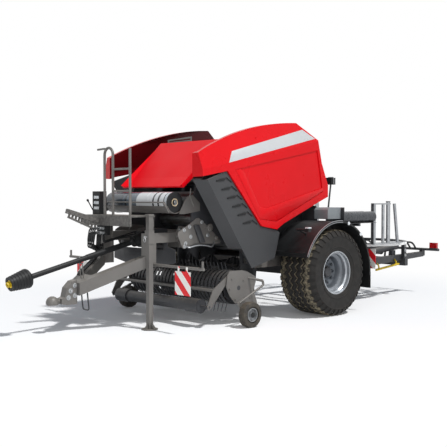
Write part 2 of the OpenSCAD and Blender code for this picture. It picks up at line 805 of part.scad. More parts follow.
module warning_boards() color("#e8e4dc") {
    side = 282;
    t = 5;
    front_x = board_x + board_arm_r + seat_gap;
    top_z = board_arm_z - 45;
    both_sides() {
        block([front_x, front_x + t], [910, 910 + side], [top_z - side, top_z]);
        for (y = [960, 1110]) block([front_x, front_x + t], [y, y + 30], [top_z, board_arm_z + 10]);
        block([rear_board_x - t, rear_board_x], [1060, 1060 + side], [580, 580 + side]);
    }
}

// Wrapper

module rear_frame() color(dark) {
    x_end = bumper_t - tail_reach;
    both_sides() {
        slab([[x_end, 605], [x_end, 685], [-1500, rear_z1 + 80], [-axle_side / 2, rear_z1 + 80],
            [-axle_side / 2, rear_z0 + 80], [-1500, rear_z0 + 80]], rear_y0, rear_y1);
        for (c = cross_beams) block([c[0] - 30, c[0] + 30], [677, 737],
            [c[1] + cross_h, ring_z - seat_gap]);
        difference() {
            block([table_pivot[0] - 50, table_pivot[0] + 50], [rear_y0, rear_y0 + 20],
                [rear_z1 + 60, table_pivot[1] + 50]);
            bar_y(table_pivot[0], table_pivot[1], table_pin_r + pin_gap, rear_y0 - cut, rear_y0 + 21);
        }
        block([4 - tail_reach, x_end + 20], [rear_y0 + 10, rear_y1 - 10], [615, 742]);
        block([6 - tail_reach, 50 - tail_reach], [780, 930], [bumper_z, lamp_z]);
    }
    for (c = cross_beams) block([c[0] - 40, c[0] + 40], [-760, 760], [c[1], c[1] + cross_h]);
    bar_y(bumper_r - tail_reach, bumper_z, bumper_r, -950, 950);
}

module tail_lamps() color("#c01818") both_sides()
    block([8 - tail_reach, 48 - tail_reach], [785, 925], [lamp_z, lamp_z + 90]);

module wrap_ring() color(silver) translate([ring_x, 0, ring_z]) difference() {
    cylinder(r = ring_r + ring_w / 2, h = ring_h);
    translate([0, 0, -cut]) cylinder(r = ring_r - ring_w / 2, h = ring_h + 2);
}

module film_dispensers() color(silver) {
    base_z = ring_z + ring_h;
    // Stretching rollers: place, radius and reach over the top arm
    rollers = [[290, 24, -6], [158, 33, 30]];
    for (s = [1, -1]) translate([ring_x, s * ring_r, 0]) rotate(s > 0 ? 0 : 180) {
        block([-160, 575], [-110, 50], [base_z, base_z + 16]);
        block([510, 562], [-26, 26], [base_z + 10, dispenser_top_z]);
        block([120, 520], [-24, 24], [dispenser_top_z - 20, dispenser_top_z]);
        for (r = rollers) translate([r[0], 0, base_z + 10])
            cylinder(r = r[1], h = dispenser_top_z - 10 - base_z + r[2]);
        bar([-95, 0, base_z + 8], [-6, 0, dispenser_top_z - 8], 25);
    }
}

module wrap_table() color(dark) {
    front = [-1350, 690];
    back = [-2650, 790];
    y = 540;
    both_sides() {
        bar([front[0], y, front[1]], [back[0], y, back[1]], 48);
        slab([[table_pivot[0] - 45, 760], [table_pivot[0] + 45, 750],
            [table_pivot[0] + 30, table_pivot[1] - 32], [table_pivot[0] - 30, table_pivot[1] - 32]], 562,
            588);
        bar_y(table_pivot[0], table_pivot[1], table_pin_r, 562, rear_y0 + 20);
    }
    for (p = [[-1500, 701], [-2250, 759]]) bar_y(p[0], p[1], 80, -y + 20, y - 20);
}

// Wheels

// Distance of a rim flange's outer face from the wheel's middle plane
function flange_half(w) = 0.435 * w;
flange_t = 12;

// One side of a tyre's section from the bead to the tread's edge, as [radius, offset from the middle plane].
// lug lowers the shoulder between two shoulder lugs.
function tyre_side(r, w, bead, lug) = let (seat = flange_half(w) - flange_t - seat_gap, wall = r - bead) [
    [bead + seat_gap, seat], [bead + 24, seat], [bead + 0.22 * wall, 0.48 * w],
    [bead + 0.45 * wall, 0.5 * w], [bead + 0.68 * wall, 0.487 * w], [r - 0.13 * wall - lug, 0.45 * w],
    [r - 0.045 * wall - lug / 2, 0.395 * w]];

// Tread from one edge to the other: grooves at the given offsets, all moved sideways by shift
function tread(r, depth, half_groove, offsets, shift) = [for (t = offsets)
    each [[r, t + shift + half_groove], [r - depth, t + shift], [r, t + shift - half_groove]]];

// The whole section, closed along the bead seat
function tyre_section(r, w, bead, lug, treads) = concat(tyre_side(r, w, bead, lug), treads,
    [for (i = [6 : -1 : 0]) let (p = tyre_side(r, w, bead, lug)[i]) [p[0], -p[1]]]);

// A ring through sections at equal steps around the Y axis, its flats at the sections' true radii
module ring_of(sections) {
    count = len(sections);
    size = len(sections[0]);
    step = 360 / count;
    points = [for (k = [0 : count - 1]) for (p = sections[k])
        let (r = p[0] / cos(step / 2), a = (k + 0.5) * step) [r * cos(a), p[1], r * sin(a)]];
    function at(k, i) = (k % count) * size + i % size;
    faces = [for (k = [0 : count - 1]) for (i = [0 : size - 1])
        each [[at(k, i), at(k + 1, i), at(k + 1, i + 1)], [at(k, i), at(k + 1, i + 1), at(k, i + 1)]]];
    polyhedron(points, faces);
}

// Main tyre: zigzag ribs round the tread, and lugs on the shoulders
module main_tyre() {
    pitches = 24;
    sway = 20;
    shoulder = 16;
    grooves = [for (i = [1.5, 0.5, -0.5, -1.5]) i * tyre_w / 6];
    ring_of([for (k = [0 : 2 * pitches - 1]) let (odd = k % 2) tyre_section(tyre_d / 2, tyre_w,
        rim_d / 2, odd * shoulder, tread(tyre_d / 2, groove_depth, 14, grooves, (2 * odd - 1) * sway))]);
}

// Gauge wheel's tyre, with a plain ribbed tread
module gauge_tyre()
    ring_of([for (k = [0 : 15]) tyre_section(gauge_d / 2, gauge_w, 85, 0, [[gauge_d / 2, 0]])]);

// Deep-dished rim: its disc is set well inside the outer flange and falls away to the hub
module rim(d, w, hub_r, bore_r) {
    r = d / 2;
    half = flange_half(w);
    well = r - 12;
    hub = [-90, stub_reach + 20];
    rotate([90, 0, 0]) difference() {
        rotate_extrude() polygon([[0, hub[0]], [hub_r, hub[0]], [hub_r, 12], [190, 48], [r - 66, 112],
            [well, 122], [well, -half], [r + 22, -half], [r + 22, flange_t - half], [r, flange_t - half],
            [r, half - flange_t], [r + 22, half - flange_t], [r + 22, half], [well, half], [well, 214],
            [r - 28, 198], [r - 28, 150], [r - 70, 136], [190, 72], [hub_r, 36], [hub_r, hub[1]],
            [0, hub[1]]]);
        translate([0, 0, hub[0] - cut]) cylinder(r = bore_r, h = stub_reach + 2 + cut - hub[0]);
    }
}

module tyre_left() color(black) translate([0, wheel_y, axle_z]) main_tyre();
module tyre_right() color(black) mirror([0, 1, 0]) tyre_left();
module rim_left() color(silver) translate([0, wheel_y, axle_z]) mirror([0, 1, 0])
    rim(rim_d, tyre_w, 120, stub_d / 2 + pin_gap);
module rim_right() color(silver) mirror([0, 1, 0]) rim_left();

// Pickup

module pickup_frame() color(grey) {
    tube = [1200, 250];
    shield = [tube + [-34, 0], tube + [0, -30], [1560, 280], [1655, 380], [1715, 500],
        crop_pivot + [75, 0], crop_pivot + [35, 50], [reel_x - 60, 690], [1350, 668], [1205, 598],
        [1192, 530], [1235, 420], tube + [-20, 44]];
    arm_y = gauge_y - gauge_w / 2 - 22;
    arm = [[1330, shield_y + 4, 585], [1224, arm_y, 552], [1214, arm_y, 498], [1640, arm_y, 306]];
    both_sides() {
        difference() {
            slab(shield, shield_y, shield_y + shield_t);
            bar_y(crop_pivot[0], crop_pivot[1], crop_pin_r + pin_gap, shield_y - cut,
                shield_y + shield_t + cut);
            bar_y(reel_x, reel_z, 30 + pin_gap, shield_y - cut, shield_y + shield_t + cut);
        }
        difference() {
            slab([pick_pivot + [-36, 20], pick_pivot + [30, 34], tube + [16, 26], tube + [0, -26],
                tube + [-34, 0], pick_pivot + [-30, -30]], wall_y + 10, wall_y + 30);
            bar_y(pick_pivot[0], pick_pivot[1], pick_pin_r + pin_gap, wall_y + 9, wall_y + 31);
        }
        for (i = [0 : 2]) bar(arm[i], arm[i + 1], 16 - i);
        slab([[1560, 365], [1672, 312], [1652, 268], [gauge_x + 30, gauge_d / 2 - 14],
            [gauge_x - 10, gauge_d / 2 - 26], [gauge_x - 28, gauge_d / 2 + 6]], arm_y - 9, arm_y + 9);
        bar_y(gauge_x, gauge_d / 2, gauge_axle_r, arm_y, gauge_y + gauge_w / 2 - 12);
    }
    bar_y(tube[0], tube[1], 22, -shield_y, shield_y);
}

// Curved bands between the tine rows, each with a straight tail to the rear tube
module pickup_strips() color(dark) {
    r0 = strip_r - 5;
    first = -tine_pitch * tine_count / 2;
    for (i = [0 : tine_count]) {
        y = first + i * tine_pitch;
        for (a = [[-90, 10], [10, 110]]) arch(reel_x, reel_z, r0, strip_r, a[0], a[1], y - strip_w / 2,
            y + strip_w / 2);
        block([1222, reel_x], [y - strip_w / 2, y + strip_w / 2], [reel_z - strip_r, reel_z - r0]);
    }
}

module pickup_reel() color(dark) {
    bar_r = 165;
    first = -tine_pitch * (tine_count - 1) / 2;
    bar_y(reel_x, reel_z, 45, -reel_half, reel_half);
    bar_y(reel_x, reel_z, 30, -shield_y - shield_t, shield_y + shield_t);
    for (y = [-reel_half, -6, reel_half - 12]) bar_y(reel_x, reel_z, bar_r + 22, y, y + 12);
    for (k = [0 : tine_rows - 1]) translate([reel_x, 0, reel_z]) rotate([0, 72 * k, 0]) {
        bar_y(bar_r, 0, 14, -reel_half, reel_half);
        for (i = [0 : tine_count - 1]) translate([bar_r, first + i * tine_pitch, 0]) rotate([0, 90, 0])
            cylinder(r = 5, h = tine_r - bar_r);
    }
}

module crop_guard() color(grey) {
    tube = [1880, 460];
    both_sides() {
        difference() {
            slab([crop_pivot + [-24, 4], crop_pivot + [4, 26], tube + [30, 22],
                [crop_x + 34, crop_z + 14], [crop_x + 8, crop_z - 34], [crop_x - 36, crop_z - 6]],
                shield_y - 22, shield_y - move_gap);
            bar_y(crop_x, crop_z, crop_pin_r + pin_gap, shield_y - 23, shield_y);
        }
        bar_y(crop_pivot[0], crop_pivot[1], crop_pin_r, shield_y - 22, shield_y + shield_t);
    }
    bar_y(tube[0], tube[1], 20, 22 - shield_y, shield_y - 22);
}

module crop_roller() color(dark) {
    bar_y(crop_x, crop_z, crop_roller_d / 2, -crop_half, crop_half);
    both_sides() bar_y(crop_x, crop_z, crop_roller_d / 2 + crop_sleeve_t, crop_half - crop_sleeve_len,
        crop_half - 4);
    bar_y(crop_x, crop_z, crop_pin_r, move_gap - shield_y, shield_y - move_gap);
}

module gauge_tyre_left() color(black) translate([gauge_x, gauge_y, gauge_d / 2]) gauge_tyre();
module gauge_tyre_right() color(black) mirror([0, 1, 0]) gauge_tyre_left();
module gauge_rim_left() color(silver) translate([gauge_x, gauge_y, gauge_d / 2]) gauge_rim();
module gauge_rim_right() color(silver) mirror([0, 1, 0]) gauge_rim_left();

module gauge_rim() {
    half = gauge_w * 0.435;
    rotate([90, 0, 0]) difference() {
        rotate_extrude() union() {
            translate([77, -half]) square([8, 2 * half]);
            translate([0, -half]) square([34, 2 * half]);
            translate([30, -6]) square([50, 10]);
        }
        translate([0, 0, -half]) cylinder(r = gauge_axle_r + pin_gap, h = 2 * half + cut);
    }
}

placed() {
    main_frame();
    chamber_walls();
    chamber_rollers();
    axle_beam();
    drawbar();
    tow_coupling();
    gearbox();
    pto_guard();
    pto_yoke();
    platform();
    ladder_rail();
    control_box();
    net_box();
    net_roll();
    side_panels();
    mudguards();
    film_racks();
    film_rolls();
    tool_boxes();
    work_lamps();
    warning_boards();
    rear_frame();
    tail_lamps();
    tailgate_shell();
    tailgate_rollers();
    door_left();
    door_right();
    hood();
    jack_leg();
    tyre_left();
    rim_left();
    tyre_right();
    rim_right();
    pickup_frame();
    pickup_strips();
    pickup_reel();
    crop_guard();
    crop_roller();
    gauge_tyre_left();
    gauge_rim_left();
    gauge_tyre_right();
    gauge_rim_right();
    rotor();
    wrap_ring();
    film_dispensers();
    wrap_table();
}
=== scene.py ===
"""Dresses a round baler and its bale wrapper for a studio picture.

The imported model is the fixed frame: every piece here sits on it, in metres, with X towards the drawbar,
Y to the machine's left and Z up from the ground. Places are written in millimetres from the axle on the
ground and turned into the model's own by place().
"""

from __future__ import annotations

import logging
import math
from contextlib import contextmanager
from dataclasses import dataclass
from enum import Enum
from typing import Any, Callable, Iterable, Iterator, Sequence

import bpy
from mathutils import Matrix, Vector

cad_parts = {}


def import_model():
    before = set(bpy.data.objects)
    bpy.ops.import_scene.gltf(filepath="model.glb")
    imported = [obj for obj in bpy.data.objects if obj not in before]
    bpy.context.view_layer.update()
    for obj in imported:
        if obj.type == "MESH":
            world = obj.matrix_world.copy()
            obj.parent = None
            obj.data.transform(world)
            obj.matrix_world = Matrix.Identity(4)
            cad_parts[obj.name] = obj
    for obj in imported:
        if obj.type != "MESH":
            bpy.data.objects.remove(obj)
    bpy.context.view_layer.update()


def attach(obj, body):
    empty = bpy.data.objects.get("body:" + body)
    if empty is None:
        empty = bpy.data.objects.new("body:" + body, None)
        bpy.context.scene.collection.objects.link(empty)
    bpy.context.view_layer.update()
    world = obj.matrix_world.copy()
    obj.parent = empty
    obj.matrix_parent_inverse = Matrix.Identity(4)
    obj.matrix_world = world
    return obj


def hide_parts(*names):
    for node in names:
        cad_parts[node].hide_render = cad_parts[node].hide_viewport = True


LOG = logging.getLogger("baler")

Point = tuple[float, float, float]
Flat = tuple[float, float]
Spot = tuple[Point, Point]
"""A place and the direction that a copy there looks along."""
Outline = tuple[Flat, ...]
"""Corners of a flat shape, or of a profile that is turned, in millimetres."""
Route = tuple[Point, ...]
"""Corners and ends of a path, in millimetres from the axle."""
Stops = Sequence[tuple[float, str]]
"""Places and sRGB hex colours of a colour ramp, in order."""
Tree = bpy.types.NodeTree
Socket = bpy.types.NodeSocket

AXLE_X = -0.42874
"""Where the main axle lies along X, in metres, from the middle of the machine's length."""
MERGE_M = 2e-5
"""Points nearer than this are one point, in metres."""
SET_IN_MM = 1.0
"""How deep a fitting's foot is set into what carries it."""
TUBE_DEG = 50.0
"""Rods and tubes are shaded smooth over edges below this angle."""
WEAR_PER_PATCH = 2.6
"""Patches of gloss and wear for each patch of colour, along a line."""
MIX_SHARE, MIX_BELOW, MIX_ABOVE, MIXED = 0, 6, 7, 2
"""Sockets of a Mix node that lays one colour over another."""


class Body(str, Enum):
    """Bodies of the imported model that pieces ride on."""

    CHASSIS = "chassis"
    TAILGATE = "tailgate"
    DOOR_LEFT = "door_left"
    DOOR_RIGHT = "door_right"
    WHEEL_LEFT = "wheel_left"
    WHEEL_RIGHT = "wheel_right"
    PICKUP = "pickup"
    GAUGE_LEFT = "gauge_wheel_left"
    GAUGE_RIGHT = "gauge_wheel_right"
    RING = "wrapping_ring"


class Side(Enum):
    """Sides of the machine, by the sign of Y."""

    LEFT = 1.0
    RIGHT = -1.0

    @property
    def word(self) -> str:
        """The side's name as it ends a piece's name."""
        return self.name.lower()

    @property
    def out(self) -> Point:
        """The direction away from the machine's middle."""
        return (0.0, self.value, 0.0)

    def body(self, stem: str) -> Body:
        """The body of a pair that is on this side."""
        return Body(f"{stem}_{self.word}")

    def at(self, x: float, y: float, z: float) -> Point:
        """A point of this side, from the same point on the left."""
        return (x, self.value * y, z)

    def route(self, corners: Route) -> list[Point]:
        """A route of this side, from the same route on the left."""
        return [self.at(*corner) for corner in corners]

    def spots(self, points: Iterable[Flat], face_mm: float) -> list[Spot]:
        """Places that look outwards, from their X and Z and their distance from the machine's middle."""
        return [(self.at(x, face_mm, z), self.out) for x, z in points]


def both_sides(points: Sequence[Flat], face_mm: float) -> list[Spot]:
    """Places on both sides that look outwards, from their X and Z and their distance from the machine's middle."""
    return [spot for side in Side for spot in side.spots(points, face_mm)]


def srgb(code: str) -> tuple[float, float, float, float]:
    """Turns an sRGB hex colour into a linear one.

    Args:
        code: Six hex digits, with or without a leading hash.

    Returns:
        Red, green, blue and alpha as linear values.
    """
    digits = code.lstrip("#")
    parts = [int(digits[i : i + 2], 16) / 255.0 for i in (0, 2, 4)]
    line = [p / 12.92 if p <= 0.04045 else ((p + 0.055) / 1.055) ** 2.4 for p in parts]
    return (line[0], line[1], line[2], 1.0)


def place(x: float, y: float, z: float) -> Point:
    """Gives a point of the model from millimetres measured from the axle on the ground."""
    return (x / 1000.0 + AXLE_X, y / 1000.0, z / 1000.0)


def rounded(points: Sequence[Point], bend: float, steps: int = 6) -> list[Point]:
    """Rounds the corners of a path.

    Args:
        points: The path's corners and ends, in metres.
        bend: How far from a corner its bend starts, in metres.
        steps: Points that a bend gets.

    Returns:
        The path with a bend at each inner corner.
    """
    path = [Vector(points[0])]
    for before, corner, after in zip(points, points[1:], points[2:]):
        a, b, c = Vector(before), Vector(corner), Vector(after)
        # A bend takes just under half of each leg, so that it never meets the next one
        cut = min(bend, (a - b).length / 2.01, (c - b).length / 2.01)
        start, end = b + (a - b).normalized() * cut, b + (c - b).normalized() * cut
        for i in range(steps + 1):
            t = i / steps
            path.append(start * (1 - t) ** 2 + b * 2 * t * (1 - t) + end * t**2)
    path.append(Vector(points[-1]))
    return [tuple(p) for p in path]


# Materials


def node(tree: Tree, kind: str, links: dict[Any, Any] | None = None, stops: Stops = (), hard: bool = False,
         **settings: Any) -> bpy.types.Node:
    """Adds a shader node with its settings, its values and its links.

    Args:
        tree: The node tree to add to.
        kind: Blender's name for the node type.
        links: Input name or number to a value, or to an output socket to link from.
        stops: The stops of a node that has a colour ramp.
        hard: True for hard edges between those stops.
        **settings: Attributes of the node itself.

    Returns:
        The new node.
    """
    made = tree.nodes.new(kind)
    for name, value in settings.items():
        setattr(made, name, value)
    for key, value in (links or {}).items():
        socket = made.inputs[key]
        if isinstance(value, Socket):
            tree.links.new(value, socket)
        else:
            socket.default_value = value
    if stops:
        elements = made.color_ramp.elements
        while len(elements) < len(stops):
            elements.new(0.5)
        for element, (at, code) in zip(elements, stops):
            element.position = at
            element.color = srgb(code)
        made.color_ramp.interpolation = "CONSTANT" if hard else "LINEAR"
    return made


@dataclass(frozen=True)
class Finish:
    """A surface: its colours, its gloss and the grain that light catches.

    Attributes:
        name: Material name, from what the real one is.
        slot: The record's material slot that it stands for; not used.
        colour: Main sRGB colour.
        shade: Second sRGB colour, in soft patches over the first.
        patch_mm: Size of those patches.
        metallic: 0 for paint, plastic and rubber, 1 for bare metal.
        rough: Roughness in the gloss patches.
        rough_worn: Roughness in the dull patches.
        grain_mm: Size of the grain that the bump shows.
        grain_depth_mm: Height of that grain.
        coat: Clear layer over the colour.
        coat_rough: Roughness of that layer.
        dust: Share of pale dust on faces that look up.
        dust_colour: Colour of that dust.
        dust_mm: Size of the patches of dust.
        ior: Refractive index where it isn't a metal.
        specular: Strength of the mirror part, where 0.5 is as the index gives.
    """

    name: str
    slot: str
    colour: str
    shade: str
    patch_mm: float = 250.0
    metallic: float = 0.0
    rough: float = 0.4
    rough_worn: float = 0.55
    grain_mm: float = 4.0
    grain_depth_mm: float = 0.1
    coat: float = 0.0
    coat_rough: float = 0.08
    dust: float = 0.0
    dust_colour: str = "#8A8072"
    dust_mm: float = 45.0
    ior: float = 1.5
    specular: float = 0.5

    def base(self, tree: Tree, where: Socket) -> Socket:
        """Makes the colour of the surface.

        Args:
            tree: The material's node tree.
            where: Object coordinates.

        Returns:
            A colour socket.
        """
        patches = node(tree, "ShaderNodeTexNoise", {"Vector": where, "Scale": 1000.0 / self.patch_mm,
                                                    "Detail": 4.0, "Roughness": 0.6})
        return node(tree, "ShaderNodeValToRGB", {"Fac": patches.outputs["Fac"]},
                    stops=[(0.35, self.colour), (0.68, self.shade)]).outputs["Color"]

    def build(self) -> bpy.types.Material:
        """Builds the material.

        Returns:
            The new material, ready to assign.
        """
        made = bpy.data.materials.new(self.name)
        made.use_nodes = True
        tree = made.node_tree
        tree.nodes.clear()
        where = node(tree, "ShaderNodeTexCoord").outputs["Object"]
        colour = self.base(tree, where)
        if self.dust:
            colour = self.dusted(tree, where, colour)
        wear = node(tree, "ShaderNodeTexNoise", {"Vector": where, "Detail": 5.0,
                                                 "Scale": 1000.0 * WEAR_PER_PATCH / self.patch_mm})
        rough = node(tree, "ShaderNodeMapRange", {"Value": wear.outputs["Fac"], "From Min": 0.35, "From Max": 0.7,
                                                  "To Min": self.rough, "To Max": self.rough_worn})
        grain = node(tree, "ShaderNodeTexNoise", {"Vector": where, "Scale": 1000.0 / self.grain_mm, "Detail": 2.0})
        bump = node(tree, "ShaderNodeBump", {"Height": grain.outputs["Fac"], "Strength": 0.6,
                                             "Distance": self.grain_depth_mm / 1000.0})
        surface = {"Base Color": colour, "Roughness": rough.outputs["Result"], "Normal": bump.outputs["Normal"],
                   "Metallic": self.metallic, "Coat Weight": self.coat, "Coat Roughness": self.coat_rough}
        if not self.metallic:
            surface |= {"IOR": self.ior, "Specular IOR Level": self.specular}
        shader = node(tree, "ShaderNodeBsdfPrincipled", surface)
        node(tree, "ShaderNodeOutputMaterial", {"Surface": shader.outputs["BSDF"]})
        return made

    def dusted(self, tree: Tree, where: Socket, colour: Socket) -> Socket:
        """Lays field dust over faces that look up, in broken patches.

        Args:
            tree: The material's node tree.
            where: Object coordinates.
            colour: The clean colour.

        Returns:
            The dusted colour.
        """
        normal = node(tree, "ShaderNodeTexCoord").outputs["Normal"]
        up = node(tree, "ShaderNodeSeparateXYZ", {"Vector": normal}).outputs["Z"]
        speckle = node(tree, "ShaderNodeTexNoise", {"Vector": where, "Scale": 1000.0 / self.dust_mm, "Detail": 6.0})
        both = node(tree, "ShaderNodeMath", {0: up, 1: speckle.outputs["Fac"]}, operation="MULTIPLY").outputs["Value"]
        share = node(tree, "ShaderNodeMapRange", {"Value": both, "From Min": 0.12, "From Max": 0.6, "To Min": 0.0,
                                                  "To Max": self.dust}).outputs["Result"]
        layers = {MIX_SHARE: share, MIX_BELOW: colour, MIX_ABOVE: srgb(self.dust_colour)}
        return node(tree, "ShaderNodeMix", layers, data_type="RGBA").outputs[MIXED]


@dataclass(frozen=True)
class ShadedDoorLacquer(Finish):
    """Body lacquer with painted shade: dark red on the faces that look in towards the machine's middle.

    Attributes:
        inside: Colour of the faces that look in towards the machine's middle, as painted shade.
        inwards: Y times the normal's Y at which that colour starts, and at which it is full.
    """

    inside: str = "#5E0A10"
    inwards: Flat = (-0.1, -0.5)

    def base(self, tree: Tree, where: Socket) -> Socket:
        """Makes the colour, with painted shade where the face looks inwards.

        Args:
            tree: The material's node tree.
            where: Object coordinates.

        Returns:
            A colour socket.
        """
        outer = super().base(tree, where)
        across = node(tree, "ShaderNodeSeparateXYZ", {"Vector": where}).outputs["Y"]
        facing = node(tree, "ShaderNodeTexCoord").outputs["Normal"]
        facing_y = node(tree, "ShaderNodeSeparateXYZ", {"Vector": facing}).outputs["Y"]
        away = node(tree, "ShaderNodeMath", {0: across, 1: facing_y}, operation="MULTIPLY").outputs["Value"]
        share = node(tree, "ShaderNodeMapRange", {"Value": away, "From Min": self.inwards[0],
                                                  "From Max": self.inwards[1]}).outputs["Result"]
        # Painted shade: the dark inside colour laid over faces that look inwards
        layers = {MIX_SHARE: share, MIX_BELOW: outer, MIX_ABOVE: srgb(self.inside)}
        return node(tree, "ShaderNodeMix", layers, data_type="RGBA").outputs[MIXED]


@dataclass(frozen=True)
class TreadRubber(Finish):
    """Tyre rubber with soil that stays in the grooves and on the edges of the ribs.

    Attributes:
        axle: The wheel's axle as X from the main axle and Z from the ground, in millimetres.
        tread_mm: Radius of the tread.
        groove_mm: Depth to which soil shows.
        soil: Colour of the soil.
        soil_share: How much of it shows from the bottom of a groove, at 0, to the tread, at 1.
        clod_mm: Size of the clods.
    """

    axle: Flat = (0.0, 590.0)
    tread_mm: float = 590.0
    groove_mm: float = 24.0
    soil: str = "#8A806A"
    soil_share: Stops = ((0.0, "#000000"), (0.1, "#303030"), (0.62, "#FFFFFF"), (0.93, "#C0C0C0"), (1.0, "#080808"))
    clod_mm: float = 33.0

    def base(self, tree: Tree, where: Socket) -> Socket:
        """Makes the colour by the distance from the axle.

        Args:
            tree: The material's node tree.
            where: Object coordinates.

        Returns:
            A colour socket.
        """
        rubber = super().base(tree, where)
        middle = place(self.axle[0], 0.0, self.axle[1])
        moved = node(tree, "ShaderNodeVectorMath", {0: where, 1: middle}, operation="SUBTRACT").outputs["Vector"]
        flat = node(tree, "ShaderNodeVectorMath", {0: moved, 1: (1.0, 0.0, 1.0)}, operation="MULTIPLY")
        radius = node(tree, "ShaderNodeVectorMath", {0: flat.outputs["Vector"]}, operation="LENGTH").outputs["Value"]
        low, high = (self.tread_mm - self.groove_mm) / 1000.0, (self.tread_mm - 1.0) / 1000.0
        depth = node(tree, "ShaderNodeMapRange", {"Value": radius, "From Min": low, "From Max": high})
        edge = node(tree, "ShaderNodeValToRGB", {"Fac": depth.outputs["Result"]}, stops=self.soil_share)
        clods = node(tree, "ShaderNodeTexNoise", {"Vector": where, "Scale": 1000.0 / self.clod_mm, "Detail": 5.0})
        patchy = node(tree, "ShaderNodeMapRange", {"Value": clods.outputs["Fac"], "From Min": 0.32, "From Max": 0.6})
        share = node(tree, "ShaderNodeMath", {0: edge.outputs["Color"], 1: patchy.outputs["Result"]},
                     operation="MULTIPLY").outputs["Value"]
        layers = {MIX_SHARE: share, MIX_BELOW: rubber, MIX_ABOVE: srgb(self.soil)}
        return node(tree, "ShaderNodeMix", layers, data_type="RGBA").outputs[MIXED]


@dataclass(frozen=True)
class ShadedDishLacquer(Finish):
    """Wheel lacquer that is bright on the outer flange, with painted shade that darkens it down in the dish.

    Attributes:
        deep: Colour at the bottom of the dish, as painted shade.
        dish_mm: Distance from the machine's middle at the bottom of the dish and at the flange.
    """

    deep: str = "#5C6167"
    dish_mm: Flat = (1225.0, 1345.0)

    def base(self, tree: Tree, where: Socket) -> Socket:
        """Makes the colour by the depth in the dish, with painted shade towards its bottom.

        Args:
            tree: The material's node tree.
            where: Object coordinates.

        Returns:
            A colour socket.
        """
        bright = super().base(tree, where)
        y = node(tree, "ShaderNodeSeparateXYZ", {"Vector": where}).outputs["Y"]
        out = node(tree, "ShaderNodeMath", {0: y}, operation="ABSOLUTE").outputs["Value"]
        share = node(tree, "ShaderNodeMapRange", {"Value": out, "From Min": self.dish_mm[0] / 1000.0,
                                                  "From Max": self.dish_mm[1] / 1000.0, "To Min": 1.0, "To Max": 0.0},
                     interpolation_type="SMOOTHSTEP").outputs["Result"]
        # Painted shade: the deep colour grows towards the bottom of the dish
        layers = {MIX_SHARE: share, MIX_BELOW: bright, MIX_ABOVE: srgb(self.deep)}
        return node(tree, "ShaderNodeMix", layers, data_type="RGBA").outputs[MIXED]


@dataclass(frozen=True)
class RingPaint(Finish):
    """Ring paint: white on the outer edge, dark on the rest.

    Attributes:
        middle_mm: The ring's middle as X from the main axle.
        edge_mm: Radius outside which the paint is white.
        fade_mm: Width over which the two paints meet.
    """

    middle_mm: float = -1900.0
    edge_mm: float = 1028.5
    fade_mm: float = 0.5

    def base(self, tree: Tree, where: Socket) -> Socket:
        """Makes the colour by the distance from the ring's middle.

        Args:
            tree: The material's node tree.
            where: Object coordinates.

        Returns:
            A colour socket.
        """
        moved = node(tree, "ShaderNodeVectorMath", {0: where, 1: place(self.middle_mm, 0, 0)},
                     operation="SUBTRACT").outputs["Vector"]
        flat = node(tree, "ShaderNodeVectorMath", {0: moved, 1: (1.0, 1.0, 0.0)}, operation="MULTIPLY")
        radius = node(tree, "ShaderNodeVectorMath", {0: flat.outputs["Vector"]}, operation="LENGTH").outputs["Value"]
        edge = self.edge_mm / 1000.0
        share = node(tree, "ShaderNodeMapRange", {"Value": radius, "From Min": edge - self.fade_mm / 1000.0,
                                                  "From Max": edge}).outputs["Result"]
        return node(tree, "ShaderNodeValToRGB", {"Fac": share},
                    stops=[(0.0, self.shade), (1.0, self.colour)]).outputs["Color"]


@dataclass(frozen=True)
class BandedNet(Finish):
    """Net in a clear sleeve: pale, with painted shade in a dark bluish stretch over the right-hand half, and thin dark
    bands round the roll.

    Attributes:
        half_mm: Distance from the machine's middle at which the first and the last band end.
    """

    half_mm: float = 650.0

    def base(self, tree: Tree, where: Socket) -> Socket:
        """Makes the bands along Y, with painted shade over the right-hand half.

        Args:
            tree: The material's node tree.
            where: Object coordinates.

        Returns:
            A colour socket.
        """
        y = node(tree, "ShaderNodeSeparateXYZ", {"Vector": where}).outputs["Y"]
        half = self.half_mm / 1000.0
        along = node(tree, "ShaderNodeMapRange", {"Value": y, "From Min": -half, "From Max": half}).outputs["Result"]
        # Painted shade: the dark bluish stops over the right-hand half; after them come thin dark bands and dark ends
        bands = [(0.0, "#141416"), (0.0095, "#3A424B"), (0.30, "#4A5560"), (0.33, "#262E35"), (0.36, "#56626D"),
                 (0.52, self.colour), (0.775, "#2E3236"), (0.80, self.colour), (0.855, "#24282B"), (0.88, self.colour),
                 (0.945, "#33383C"), (0.955, self.shade), (0.9905, "#141416")]
        return node(tree, "ShaderNodeValToRGB", {"Fac": along}, stops=bands, hard=True).outputs["Color"]


@dataclass(frozen=True)
class StripedBoard(Finish):
    """Reflective sheet on a flat board: wide slanting stripes of red and white.

    Attributes:
        pitch_mm: Distance from one red stripe to the next, straight across the board.
        first_mm: Height plus distance from the middle at which a red stripe starts.
    """

    pitch_mm: float = 230.0
    first_mm: float = 1534.0

    def base(self, tree: Tree, where: Socket) -> Socket:
        """Makes the stripes, falling outwards on both sides of the machine.

        Args:
            tree: The material's node tree.
            where: Object coordinates.

        Returns:
            A colour socket.
        """
        split = node(tree, "ShaderNodeSeparateXYZ", {"Vector": where})
        out = node(tree, "ShaderNodeMath", {0: split.outputs["Y"]}, operation="ABSOLUTE").outputs["Value"]
        slant = node(tree, "ShaderNodeMath", {0: out, 1: split.outputs["Z"]}, operation="ADD").outputs["Value"]
        turns = node(tree, "ShaderNodeMath", {0: slant, 1: 1000.0 / self.pitch_mm, 2: -self.first_mm / self.pitch_mm},
                     operation="MULTIPLY_ADD").outputs["Value"]
        part = node(tree, "ShaderNodeMath", {0: turns}, operation="FRACT").outputs["Value"]
        return node(tree, "ShaderNodeValToRGB", {"Fac": part}, stops=[(0.0, self.colour), (0.5, self.shade)],
                    hard=True).outputs["Color"]


